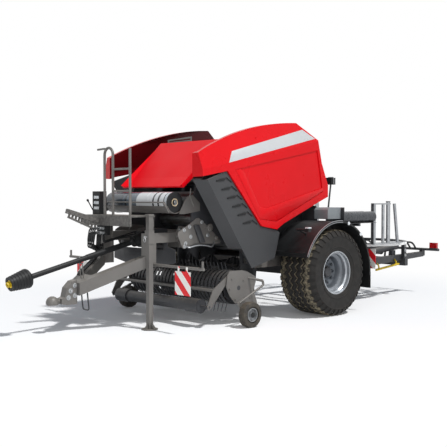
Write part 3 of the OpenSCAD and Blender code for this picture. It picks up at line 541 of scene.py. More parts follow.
class Paint(Enum):
    """Finishes of the machine."""

    # Sprayed and baked lacquer: a deep even red with a soft gloss, and painted shade in dark red on faces that look
    # inwards
    RED = ShadedDoorLacquer("red_body_lacquer", "red_paint", "#D80B16", "#D20812", patch_mm=700, rough=0.26,
                      rough_worn=0.34, grain_mm=9, grain_depth_mm=0.02, specular=0.2)
    # The same lacquer on the hood's flat sheet, painted a brighter red as painted light where the sheet faces the key,
    # with less of a mirror in it
    LIT_HOOD_RED = Finish("red_hood_lacquer_painted_light", "red_paint", "#EE0F1D", "#E80B19", patch_mm=700, rough=0.3,
                      rough_worn=0.4, grain_mm=9, grain_depth_mm=0.02, specular=0.08)
    # Two-pack chassis enamel: even satin with a little field dust on top
    GREY = Finish("grey_chassis_enamel", "grey_paint", "#6E6B67", "#63605D", patch_mm=420, rough=0.38,
                  rough_worn=0.52, grain_mm=5, grain_depth_mm=0.08, dust=0.25)
    # Embossed deck plate: the same enamel worn off the pattern's high spots
    DECK = Finish("embossed_deck_plate", "grey_paint", "#6E6B67", "#4A4846", patch_mm=36, rough=0.45,
                  rough_worn=0.65, grain_mm=14, grain_depth_mm=1.2, dust=0.3)
    # Same enamel in a darker mix, for inner plates and the wrapper's frame
    DARK = Finish("dark_chassis_enamel", "dark_paint", "#3A3B3E", "#303134", patch_mm=380, rough=0.4,
                  rough_worn=0.55, grain_mm=5, grain_depth_mm=0.1, dust=0.25)
    # Thermoformed ABS sheet: dull and dark, with a leather grain drawn at 3 mm, coarser than it is, so that it shows
    PANEL = Finish("grained_abs_sheet", "dark_plastic", "#3B3C3E", "#353638", patch_mm=900, rough=0.46,
                   rough_worn=0.56, grain_mm=3, grain_depth_mm=0.25)
    # Injection moulded polyethylene: black with a soft sheen
    BLACK = Finish("black_polyethylene", "black_plastic", "#18191A", "#1F2021", patch_mm=300, rough=0.45,
                   rough_worn=0.6, grain_mm=4, grain_depth_mm=0.15, specular=0.3)
    # Moulded polyamide: a strong even yellow with a dull sheen
    YELLOW = Finish("yellow_polyamide", "yellow_paint", "#D8B91C", "#C9A912", patch_mm=120, rough=0.4, rough_worn=0.5)
    # Crop-polished steel tube: bright patches where straw has run over it
    STEEL = Finish("crop_polished_steel", "roller_steel", "#8B8D8F", "#6C6A66", patch_mm=140, metallic=1.0,
                   rough=0.3, rough_worn=0.5, grain_mm=2, grain_depth_mm=0.1)
    # Zinc-plated fasteners and bent rod: pale and even, a little dulled
    ZINC = Finish("zinc_plated_steel", "roller_steel", "#B9BCBE", "#A3A5A6", patch_mm=60, metallic=0.85,
                  rough=0.32, rough_worn=0.46, grain_mm=2, grain_depth_mm=0.05)
    # Sprayed wheel lacquer with metal flake: bright on the flange, with painted shade down in the dish
    RIM = ShadedDishLacquer("silver_wheel_lacquer", "rim_paint", "#B4B8BC", "#A4A8AD", patch_mm=300, metallic=0.5,
                        rough=0.26, rough_worn=0.4, grain_mm=2, grain_depth_mm=0.05)
    # Lacquer on small pressed rims: paler than the chassis, with little flake, and dulled by stubble
    GAUGE_RIM = Finish("pale_gauge_wheel_lacquer", "rim_paint", "#96989A", "#828486", patch_mm=90, metallic=0.3,
                       rough=0.35, rough_worn=0.5)
    # Vulcanised rubber: nearly black, browned by soil on the edges of the tread
    RUBBER = TreadRubber("tyre_rubber", "tyre", "#201F1E", "#292725", patch_mm=160, rough=0.7, rough_worn=0.85,
                         grain_mm=6, grain_depth_mm=0.35, dust=0.12, dust_colour="#5B5145", specular=0.3)
    # The same rubber on small smooth tyres: browner, with dust all over the upper half
    GAUGE_RUBBER = Finish("gauge_tyre_rubber", "tyre", "#2E2C2A", "#4A443B", patch_mm=70, rough=0.7, rough_worn=0.85,
                          grain_mm=5, grain_depth_mm=0.4, dust=0.4, dust_colour="#6A5F50")
    # Knitted net in a clear polythene sleeve: pale under a glossy skin, with painted shade over its right-hand half and
    # thin dark bands round the roll
    NET = BandedNet("sleeved_net_roll", "net", "#D3D5D6", "#C2C8CC", rough=0.2, rough_worn=0.3, grain_mm=8,
                    grain_depth_mm=0.3, coat=0.4)
    # Spiral-wound paper tube: plain brown and quite matt
    PAPER = Finish("wound_paper_tube", "net", "#CDB99B", "#BBA684", patch_mm=40, rough=0.7, rough_worn=0.8)
    # Stretch film on its core: black, tightly wound and glossy
    FILM = Finish("black_stretch_film", "film", "#3C3F43", "#2C2F33", patch_mm=90, rough=0.25, rough_worn=0.35,
                  grain_mm=30, grain_depth_mm=0.8)
    # Moulded polypropylene: pale grey, even and half matt
    PALE_BOX = Finish("pale_polypropylene", "box_plastic", "#8E9396", "#83888B", patch_mm=200, rough=0.45,
                      rough_worn=0.55)
    # Reflective sheet: strong red and warm white, flat under a hard film
    BOARD = StripedBoard("striped_reflective_sheet", "board", "#EE2029", "#FAF8F2", rough=0.35, rough_worn=0.42,
                         grain_mm=2)
    # Moulded acrylic lenses: a clean colour under a hard gloss
    LAMP_RED = Finish("red_lamp_lens", "lamp_red", "#C3141C", "#A80F16", patch_mm=60, rough=0.12, rough_worn=0.18,
                      coat=0.6)
    # The same acrylic in amber, for the turn lamps
    LAMP_AMBER = Finish("amber_lamp_lens", "lamp_red", "#D9771B", "#C96A14", patch_mm=60, rough=0.12,
                        rough_worn=0.18, coat=0.6)
    # The same acrylic left clear over a pale back: nearly white and very glossy
    LAMP_CLEAR = Finish("clear_lamp_lens", "box_plastic", "#E3E6E8", "#D3D8DB", patch_mm=40, rough=0.1,
                        rough_worn=0.18, coat=0.6)
    # Enamel in two colours: white round the ring's outer edge, dark on its faces
    RING = RingPaint("two_tone_ring_paint", "ring_metal", "#F0F0EE", "#3C3E42", rough=0.35, rough_worn=0.45)
    # Drawn aluminium: bright and smooth, with slow changes of tone
    ALUMINIUM = Finish("drawn_aluminium", "bright_metal", "#AEB1B4", "#999CA0", patch_mm=120, metallic=1.0,
                       rough=0.28, rough_worn=0.4, grain_mm=2, grain_depth_mm=0.04)
    # Cast vinyl film: flat pale grey with a slight gloss
    STRIPE = Finish("pale_vinyl_stripe", "board", "#C4C6C7", "#BBBDBE", patch_mm=500, rough=0.3, rough_worn=0.38)


NODE_PAINT: dict[Paint, tuple[str, ...]] = {
    Paint.RED: ("door_left", "door_right"),
    # The hood gets the lacquer painted brighter, as painted light
    Paint.LIT_HOOD_RED: ("hood",),
    Paint.GREY: ("main_frame", "drawbar", "tow_coupling", "ladder_rail", "net_box", "jack_leg", "pickup_frame",
                 "crop_guard"),
    Paint.DARK: ("chamber_walls", "axle_beam", "gearbox", "film_racks", "rear_frame", "tailgate_shell",
                 "pickup_strips", "pickup_reel", "crop_roller", "rotor", "wrap_table"),
    Paint.DECK: ("platform",),
    Paint.PANEL: ("side_panels",),
    Paint.BLACK: ("pto_guard", "control_box", "mudguards", "work_lamps"),
    Paint.YELLOW: ("pto_yoke",),
    Paint.STEEL: ("chamber_rollers", "tailgate_rollers"),
    Paint.RIM: ("rim_left", "rim_right"),
    Paint.GAUGE_RIM: ("gauge_rim_left", "gauge_rim_right"),
    Paint.GAUGE_RUBBER: ("gauge_tyre_left", "gauge_tyre_right"),
    Paint.RUBBER: ("tyre_left", "tyre_right"),
    Paint.NET: ("net_roll",),
    Paint.FILM: ("film_rolls",),
    Paint.PALE_BOX: ("tool_boxes",),
    Paint.BOARD: ("warning_boards",),
    Paint.LAMP_RED: ("tail_lamps",),
    Paint.RING: ("wrap_ring",),
    Paint.ALUMINIUM: ("film_dispensers",),
}


class PaintShop:
    """Makes each material once and hands it out."""

    def __init__(self) -> None:
        """Starts with no material made."""
        self._made: dict[Paint, bpy.types.Material] = {}

    def coat(self, obj: bpy.types.Object, paint: Paint) -> None:
        """Gives an object one material in all its slots.

        Args:
            obj: The object to paint.
            paint: The finish that it gets.
        """
        if paint not in self._made:
            self._made[paint] = paint.value.build()
        slots = obj.data.materials
        if not len(slots):
            slots.append(self._made[paint])
        for i in range(len(slots)):
            slots[i] = self._made[paint]

    def coat_nodes(self, nodes: dict[str, Any]) -> None:
        """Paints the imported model's own nodes.

        Args:
            nodes: Node name to Blender object.
        """
        for paint, names in NODE_PAINT.items():
            for name in names:
                self.coat(nodes[name], paint)


# Modelling


class Bench:
    """Shapes new pieces with Blender's modelling tools and sets them on the machine."""

    def __init__(self, shop: PaintShop) -> None:
        """Keeps the paint shop that dresses each piece."""
        self.shop = shop

    def take(self, *objs: bpy.types.Object) -> None:
        """Selects only these objects and makes the last one active.

        Args:
            *objs: The objects to select.
        """
        bpy.ops.object.select_all(action="DESELECT")
        for obj in objs:
            obj.select_set(True)
            bpy.context.view_layer.objects.active = obj

    @contextmanager
    def editing(self, obj: bpy.types.Object) -> Iterator[None]:
        """Opens one object in edit mode with all of it selected.

        Args:
            obj: The object to edit.

        Returns:
            A context that goes back to object mode.
        """
        self.take(obj)
        bpy.ops.object.mode_set(mode="EDIT")
        bpy.ops.mesh.select_mode(type="VERT")
        bpy.ops.mesh.select_all(action="SELECT")
        yield
        bpy.ops.object.mode_set(mode="OBJECT")

    def close(self) -> None:
        """Merges doubles and turns all faces outwards, in edit mode."""
        bpy.ops.mesh.select_all(action="SELECT")
        bpy.ops.mesh.remove_doubles(threshold=MERGE_M)
        bpy.ops.mesh.normals_make_consistent(inside=False)

    def pick_faces(self, obj: bpy.types.Object, wanted: Callable[[Vector, Vector], bool]) -> None:
        """Selects faces by their middle and normal, for the next edit.

        Args:
            obj: The object, in edit mode.
            wanted: Says whether a face with this middle and normal is selected.
        """
        bpy.ops.mesh.select_all(action="DESELECT")
        bpy.ops.mesh.select_mode(type="FACE")
        bpy.ops.object.mode_set(mode="OBJECT")
        for face in obj.data.polygons:
            face.select = wanted(face.center, face.normal)
        bpy.ops.object.mode_set(mode="EDIT")

    def pick_points(self, obj: bpy.types.Object, wanted: Callable[[Vector], bool]) -> None:
        """Selects vertices by their place, for the next edit.

        Args:
            obj: The object, in edit mode.
            wanted: Says whether a vertex at this place is selected.
        """
        bpy.ops.mesh.select_mode(type="VERT")
        bpy.ops.mesh.select_all(action="DESELECT")
        bpy.ops.object.mode_set(mode="OBJECT")
        for vertex in obj.data.vertices:
            vertex.select = wanted(vertex.co)
        bpy.ops.object.mode_set(mode="EDIT")

    def trace(self, points: Sequence[Point]) -> bpy.types.Object:
        """Draws a chain of edges by extruding one vertex from point to point.

        Args:
            points: The chain's points, in metres.

        Returns:
            The new object.
        """
        bpy.ops.object.select_all(action="DESELECT")
        bpy.ops.mesh.primitive_plane_add(size=0.001)
        obj = bpy.context.object
        with self.editing(obj):
            bpy.ops.mesh.merge(type="CENTER")
            bpy.ops.transform.translate(value=points[0])
            for before, after in zip(points, points[1:]):
                step = tuple(Vector(after) - Vector(before))
                bpy.ops.mesh.extrude_vertices_move(TRANSFORM_OT_translate={"value": step})
        return obj

    def plate(self, outline: Sequence[Point], thick: Point, bevel_mm: float = 1.0) -> bpy.types.Object:
        """Cuts a flat plate with broken edges.

        Args:
            outline: Corners of one face, in millimetres from the axle.
            thick: Way through the plate, in millimetres.
            bevel_mm: Width of the broken edges.

        Returns:
            The new object.
        """
        obj = self.trace([place(*corner) for corner in outline])
        with self.editing(obj):
            bpy.ops.mesh.edge_face_add()
            bpy.ops.mesh.extrude_region_move(TRANSFORM_OT_translate={"value": tuple(t / 1000.0 for t in thick)})
            self.close()
            bpy.ops.mesh.bevel(offset=bevel_mm / 1000.0, segments=2, affect="EDGES")
        return obj

    def side_plate(self, side: Side, outline: Sequence[Flat], foot_mm: float, deep_mm: float,
                   bevel_mm: float = 1.0) -> bpy.types.Object:
        """Cuts a flat plate that lies along one side of the machine.

        Args:
            side: Side of the machine.
            outline: X and Z of its corners.
            foot_mm: Distance of its inner face from the machine's middle.
            deep_mm: Its thickness, outwards.
            bevel_mm: Width of the broken edges.

        Returns:
            The new object.
        """
        return self.plate([side.at(x, foot_mm, z) for x, z in outline], side.at(0.0, deep_mm, 0.0), bevel_mm)

    def block(self, low: Point, high: Point, bevel_mm: float = 2.0) -> bpy.types.Object:
        """Makes a rectangular piece with rounded edges.

        Args:
            low: Lowest corner, in millimetres from the axle.
            high: Highest corner.
            bevel_mm: Radius of the edges.

        Returns:
            The new object.
        """
        corner, size = Vector(place(*low)), (Vector(high) - Vector(low)) / 1000.0
        bpy.ops.object.select_all(action="DESELECT")
        bpy.ops.mesh.primitive_cube_add(size=1.0, location=corner + size / 2.0, scale=size)
        obj = bpy.context.object
        bpy.ops.object.transform_apply(location=True, rotation=True, scale=True)
        with self.editing(obj):
            bpy.ops.mesh.bevel(offset=bevel_mm / 1000.0, segments=3, affect="EDGES")
        return obj

    def rod(self, corners: Sequence[Point], radius_mm: float, bend_mm: float = 40.0) -> bpy.types.Object:
        """Bends a round rod or tube along a path.

        Args:
            corners: The path's corners and ends, in millimetres from the axle.
            radius_mm: The rod's radius.
            bend_mm: How far from a corner its bend starts.

        Returns:
            The new object.
        """
        self.trace(rounded([place(*corner) for corner in corners], bend_mm / 1000.0))
        bpy.ops.object.convert(target="CURVE")
        curve = bpy.context.object.data
        curve.bevel_depth = radius_mm / 1000.0
        curve.bevel_resolution = 3
        curve.use_fill_caps = True
        bpy.ops.object.convert(target="MESH")
        obj = bpy.context.object
        with self.editing(obj):
            self.close()
        return obj

    def turned(self, profile: Sequence[Flat], sides: int = 28) -> bpy.types.Object:
        """Turns a profile about Z at the origin.

        Args:
            profile: Radius and height of its points, in millimetres.
            sides: Steps of the turn.

        Returns:
            The new object.
        """
        obj = self.trace([(radius / 1000.0, 0.0, height / 1000.0) for radius, height in profile])
        with self.editing(obj):
            bpy.ops.mesh.spin(steps=sides, angle=math.tau, center=(0, 0, 0), axis=(0, 0, 1))
            self.close()
        return obj

    def swept(self, section: Sequence[Flat], axle: Flat, turn_deg: Flat, steps: int = 30) -> bpy.types.Object:
        """Sweeps a section round an axle that lies across the machine.

        Args:
            section: Radius and Y of the section's corners, in millimetres.
            axle: The axle's X and Z.
            turn_deg: First and last angle, from forwards, counted upwards.
            steps: Steps of the sweep.

        Returns:
            The new object.
        """
        first, last = (math.radians(angle) for angle in turn_deg)
        ring = [place(axle[0] + r * math.cos(first), y, axle[1] + r * math.sin(first)) for r, y in section]
        obj = self.trace([*ring, ring[0]])
        with self.editing(obj):
            bpy.ops.mesh.remove_doubles(threshold=MERGE_M)
            bpy.ops.mesh.spin(steps=steps, angle=last - first, center=place(axle[0], 0, axle[1]), axis=(0, 1, 0))
            bpy.ops.mesh.select_all(action="SELECT")
            bpy.ops.mesh.fill_holes(sides=0)
            self.close()
        return obj

    def bolt(self, key_mm: float) -> bpy.types.Object:
        """Makes a hexagon bolt head on its washer, looking along Z.

        Args:
            key_mm: Width across the hexagon's flats.

        Returns:
            The new object.
        """
        # Shares of the key width: half the width across corners, where the chamfer starts, and the height
        edge, chamfer, high = key_mm * 0.577, key_mm * 0.55, key_mm * 0.66
        head = self.turned([(0, 0), (edge, 0), (edge, chamfer), (edge * 0.86, high), (0, high)], sides=6)
        washer = self.turned([(0, -2), (key_mm, -2), (key_mm, 2.4), (key_mm * 0.94, 3.2), (0, 3.2)], sides=24)
        return self.join(head, washer)

    def join(self, *objs: bpy.types.Object) -> bpy.types.Object:
        """Joins objects into one.

        Args:
            *objs: The objects to join, of which the last one stays.

        Returns:
            The joined object.
        """
        self.take(*objs)
        if len(objs) > 1:
            bpy.ops.object.join()
        return bpy.context.object

    def spread(self, master: bpy.types.Object, spots: Iterable[Spot]) -> bpy.types.Object:
        """Copies a master that looks along Z to a number of places, each copy with its own mesh.

        Args:
            master: The piece at the origin; it is used up.
            spots: Place in millimetres from the axle and direction of each copy.

        Returns:
            The copies, joined.
        """
        copies = []
        for where, towards in spots:
            self.take(master)
            bpy.ops.object.duplicate(linked=False)
            copy = bpy.context.object
            turn = Vector(towards).to_track_quat("Z", "Y").to_matrix().to_4x4()
            copy.matrix_world = Matrix.Translation(place(*where)) @ turn
            copies.append(copy)
        self.take(master)
        bpy.ops.object.delete()
        self.take(*copies)
        bpy.ops.object.transform_apply(location=True, rotation=True, scale=True)
        return self.join(*copies)

    def hand_over(self, obj: bpy.types.Object, name: str, paint: Paint, body: Body, smooth_deg: float = 35.0) -> None:
        """Finishes a piece: shades it, names it, paints it and lets it ride.

        Args:
            obj: The shaped object.
            name: Its name in the model.
            paint: Its finish.
            body: The body that carries it.
            smooth_deg: Edges below this angle are shaded smooth.
        """
        self.take(obj)
        bpy.ops.object.transform_apply(location=True, rotation=True, scale=True)
        bpy.ops.object.shade_smooth_by_angle(angle=math.radians(smooth_deg))
        obj.name = obj.data.name = name
        self.shop.coat(obj, paint)
        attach(obj, body.value)
        LOG.info("%s: %d faces on %s", name, len(obj.data.polygons), body.value)


@dataclass
class MainTyre:
    """Flotation tyre with four wandering grooves, blocks on its shoulders and rings on its walls.

    Attributes:
        side: Side of the machine.
        middle_mm: Distance of the tyre's middle plane from the machine's.
        axle_z: Height of the axle.
        half: Radius and distance from the middle plane of half the section, from the bead to the tread.
        waves: Waves that a groove makes round the tyre.
        steps_per_wave: Steps of the turn in each wave.
        sway_mm: How far a groove wanders to each side.
        tread_mm: Radius outside which the tread wanders, and half the width that does.
        block_mm: Height of the shoulder blocks.
        block_share: Share of a wave that a block takes up.
        block_r: Least and greatest radius of the faces that carry blocks.
        block_y: Distance from the middle plane outside which those faces lie.
    """

    side: Side
    middle_mm: float = 1135.0
    axle_z: float = 590.0
    half: Outline = (
        (290, 256), (298, 268), (316, 276), (343, 284), (346, 289), (355, 289), (358, 285), (398, 291), (440, 296),
        (482, 296), (486, 300), (497, 300), (501, 296), (518, 288), (538, 276), (555, 260), (566, 242), (571, 224),
        (586, 206), (588, 171), (566, 160), (565, 140), (588.5, 129), (589.5, 100), (590, 71), (567, 60), (566, 40),
        (590, 29), (590, 0))
    waves: int = 36
    steps_per_wave: int = 8
    sway_mm: float = 24.0
    tread_mm: Flat = (564.5, 212.0)
    block_mm: float = 12.0
    block_share: float = 0.55
    block_r: Flat = (502.0, 572.0)
    block_y: float = 225.0

    def section(self) -> list[Flat]:
        """Gives radius and distance from the middle plane round the whole section."""
        return [*self.half, *((r, -y) for r, y in reversed(self.half[:-1]))]

    def wave(self, angle: float) -> float:
        """Gives a groove's place in its wave, from -1 to 1."""
        part = (angle / math.tau * self.waves) % 1.0
        return 1.0 - 4.0 * abs(part - 0.5)

    def build(self, bench: Bench) -> None:
        """Turns the section, bends the grooves and raises the blocks.

        Args:
            bench: The tools to work with.
        """
        middle = self.side.value * self.middle_mm
        hub = Vector(place(0, middle, self.axle_z))
        ring = [place(r, middle + y, self.axle_z) for r, y in self.section()]
        tyre = bench.trace([*ring, ring[0]])
        steps = self.waves * self.steps_per_wave
        with bench.editing(tyre):
            bpy.ops.mesh.remove_doubles(threshold=MERGE_M)
            bpy.ops.mesh.spin(steps=steps, angle=math.tau, center=hub, axis=(0, -1, 0))
            bench.close()
            self.bend_grooves(bench, tyre, hub)
            self.raise_blocks(bench, tyre, hub)
            bench.close()
        bench.hand_over(tyre, f"tread_tyre_{self.side.word}", Paint.RUBBER, self.side.body("wheel"), smooth_deg=28.0)
        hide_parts(f"tyre_{self.side.word}")

    def on_level(self, away: Vector, level: float) -> bool:
        """Says whether a point of the tread is at one step of the wave.

        Args:
            away: The point, from the wheel's middle.
            level: The step, as a place in the wave.

        Returns:
            True where the point moves with this step.
        """
        low, half = (limit / 1000.0 for limit in self.tread_mm)
        if math.hypot(away.x, away.z) <= low or abs(away.y) >= half:
            return False
        angle = math.atan2(away.z, away.x) % math.tau
        # A hair past the step, so that rounding doesn't put the first one into the wave before
        return abs(self.wave(angle + 1e-6) - level) < 0.05

    def on_block(self, away: Vector) -> bool:
        """Says whether a face of the shoulder carries a block.

        Args:
            away: The face's middle, from the wheel's.

        Returns:
            True where the face is raised.
        """
        part = (math.atan2(away.z, away.x) / math.tau * self.waves + (0.5 if away.y > 0 else 0.0)) % 1.0
        low, high = (limit / 1000.0 for limit in self.block_r)
        shoulder = low < math.hypot(away.x, away.z) < high and abs(away.y) > self.block_y / 1000.0
        return shoulder and part < self.block_share

    def bend_grooves(self, bench: Bench, tyre: bpy.types.Object, hub: Vector) -> None:
        """Moves the tread sideways step by step, so that its grooves wander.

        Args:
            bench: The tools to work with.
            tyre: The turned tyre, in edit mode.
            hub: The wheel's middle.
        """
        levels = sorted({round(self.wave(k / self.steps_per_wave * math.tau / self.waves), 4)
                         for k in range(self.steps_per_wave)})
        for level in levels:
            if abs(level) > 1e-3:
                bench.pick_points(tyre, lambda point, at=level: self.on_level(point - hub, at))
                bpy.ops.transform.translate(value=(0.0, level * self.sway_mm / 1000.0, 0.0))

    def raise_blocks(self, bench: Bench, tyre: bpy.types.Object, hub: Vector) -> None:
        """Raises a block on each shoulder in about half of every wave.

        Args:
            bench: The tools to work with.
            tyre: The turned tyre, in edit mode.
            hub: The wheel's middle.
        """
        bench.pick_faces(tyre, lambda middle, normal: self.on_block(middle - hub))
        bpy.ops.mesh.extrude_region_shrink_fatten(TRANSFORM_OT_shrink_fatten={"value": self.block_mm / 1000.0})
        bpy.ops.mesh.select_mode(type="VERT")


@dataclass
class WheelFittings:
    """Nuts and hub caps of the main and gauge wheels.

    Attributes:
        nuts: Nuts of a main wheel.
        nut_key_mm: Width across a nut's flats.
        circle_mm: Radius of the circle that they stand on.
        axle_z: Height of the main axle.
        seat_mm: Distance of the nuts' seat from the machine's middle.
        cap_mm: Distance of the main hub cap's foot from the machine's middle.
        cap: Profile of the main hub cap.
        gauge: Place of a gauge wheel's hub face.
        gauge_cap: Profile of a gauge wheel's hub cap.
    """

    nuts: int = 10
    nut_key_mm: float = 30.0
    circle_mm: float = 155.0
    axle_z: float = 590.0
    seat_mm: float = 1188.0
    cap_mm: float = 1190.0
    cap: Outline = ((0, 0), (86, 0), (86, 16), (74, 22), (70, 50), (58, 60), (0, 62))
    gauge: Point = (1530.0, 1301.0, 160.0)
    gauge_cap: Outline = ((0, -4), (34, -4), (34, 3), (24, 7), (0, 8))

    def build(self, bench: Bench) -> None:
        """Makes the fittings of both sides.

        Args:
            bench: The tools to work with.
        """
        turns = [math.tau * i / self.nuts for i in range(self.nuts)]
        circle = [(self.circle_mm * math.cos(a), self.axle_z + self.circle_mm * math.sin(a)) for a in turns]
        for side in Side:
            nuts = bench.spread(bench.bolt(self.nut_key_mm), side.spots(circle, self.seat_mm))
            hub = bench.spread(bench.turned(self.cap, sides=36), side.spots([(0, self.axle_z)], self.cap_mm))
            bench.hand_over(nuts, f"wheel_nuts_{side.word}", Paint.RIM, side.body("wheel"))
            bench.hand_over(hub, f"hub_cap_{side.word}", Paint.DARK, side.body("wheel"))
            cover = bench.spread(bench.turned(self.gauge_cap, sides=24), [(side.at(*self.gauge), side.out)])
            bench.hand_over(cover, f"gauge_hub_cap_{side.word}", Paint.BLACK, side.body("gauge_wheel"))


@dataclass
class DoorTrim:
    """The pale stripe of each side door and the bolster round its pressed field.

    Attributes:
        crease: X and Z of the crease's reference point.
        lean: Rise and run of the crease.
        band: Height of the band above the crease and how far it leans in.
        face_mm: Distance of the crease from the machine's middle.
        corners: The stripe's corners, along and up from the reference point.
        stripe_mm: How deep the stripe is set into the band, and how far it stands out.
        bolster: X and Z of the bolster's corners, outer edge first.
        bolster_mm: How deep the bolster is set into the field, and how far it stands past the crease.
        field_mm: Depth of the pressed field.
    """

    crease: Flat = (1668.0, 2037.0)
    lean: Flat = (360.0, 1714.0)
    band: Flat = (350.0, 120.0)
    face_mm: float = 1020.0
    corners: Outline = ((-5, 4), (-120, 130), (-1520, 190), (-1700, 34))
    stripe_mm: Flat = (1.0, 1.5)
    bolster: Outline = (
        (1552, 1957), (1118, 1334), (800, 1295), (62, 1604), (-146, 1693), (-160, 1746), (0, 1708), (960, 1474),
        (1040, 1468), (1100, 1484), (1146, 1528), (1388, 1922), (1462, 1972))
    bolster_mm: Flat = (2.0, 1.0)
    field_mm: float = 14.0

    def spot(self, side: Side, along: float, up: float, proud: float) -> Point:
        """Gives a point of the band, or one that stands proud of it.

        Args:
            side: Side of the machine.
            along: Distance forwards along the crease.
            up: Distance up from the crease.
            proud: Height above the band's face.

        Returns:
            The point in millimetres from the axle.
        """
        t = math.atan2(*self.lean)
        slope = self.band[1] / self.band[0]
        norm = math.hypot(1.0, slope)
        rise = up + proud * slope / norm
        x = self.crease[0] + along * math.cos(t) + rise * math.sin(t)
        z = self.crease[1] - along * math.sin(t) + rise * math.cos(t)
        return (x, side.value * (self.face_mm - slope * up + proud / norm), z)

    def build(self, bench: Bench) -> None:
        """Lays the stripe and the bolster on both doors.

        Args:
            bench: The tools to work with.
        """
        under, over = self.bolster_mm
        for side in Side:
            foot = [self.spot(side, along, up, -self.stripe_mm[0]) for along, up in self.corners]
            top = self.spot(side, *self.corners[0], self.stripe_mm[1])
            stripe = bench.plate(foot, tuple(Vector(top) - Vector(foot[0])), bevel_mm=0.3)
            bench.hand_over(stripe, f"door_stripe_{side.word}", Paint.STRIPE, side.body("door"))
            pad = bench.side_plate(side, self.bolster, self.face_mm - self.field_mm - under,
                                   self.field_mm + under + over, bevel_mm=7.0)
            bench.hand_over(pad, f"door_bolster_{side.word}", Paint.RED, side.body("door"), smooth_deg=60.0)


@dataclass
class PanelLouvres:
    """Louvres down the side panels, each running up to one of the panel's slots, painted black as painted shade under
    the panel's shingles.

    Attributes:
        tip: X and Z of the uppermost slot's front corner.
        step: Way from one slot to the next.
        count: Slots on a side.
        section: X and Z of a louvre's corners from its slot's corner.
        face_mm: Distance of the panel's face from the machine's middle.
        proud_mm: How far a louvre stands out, and how deep it is set in.
    """

    tip: Flat = (1735.0, 1845.0)
    step: Flat = (-92.0, -107.0)
    count: int = 6
    section: Outline = ((132.0, -40.0), (132.0, -24.0), (8.0, 6.0), (-14.0, -4.0), (-6.0, -26.0))
    face_mm: float = 1000.0
    proud_mm: Flat = (11.0, 2.0)

    def build(self, bench: Bench) -> None:
        """Sets the louvres of both sides.

        Args:
            bench: The tools to work with.
        """
        out, sunk = self.proud_mm
        for side in Side:
            made = []
            for i in range(self.count):
                x, z = (a + i * b for a, b in zip(self.tip, self.step))
                corners = [(x + dx, z + dz) for dx, dz in self.section]
                made.append(bench.side_plate(side, corners, self.face_mm - sunk, out + sunk, bevel_mm=3.0))
            # Painted shade: the louvres are painted black for the shade that lies under them
            bench.hand_over(bench.join(*made), f"panel_louvres_{side.word}", Paint.BLACK, Body.CHASSIS)


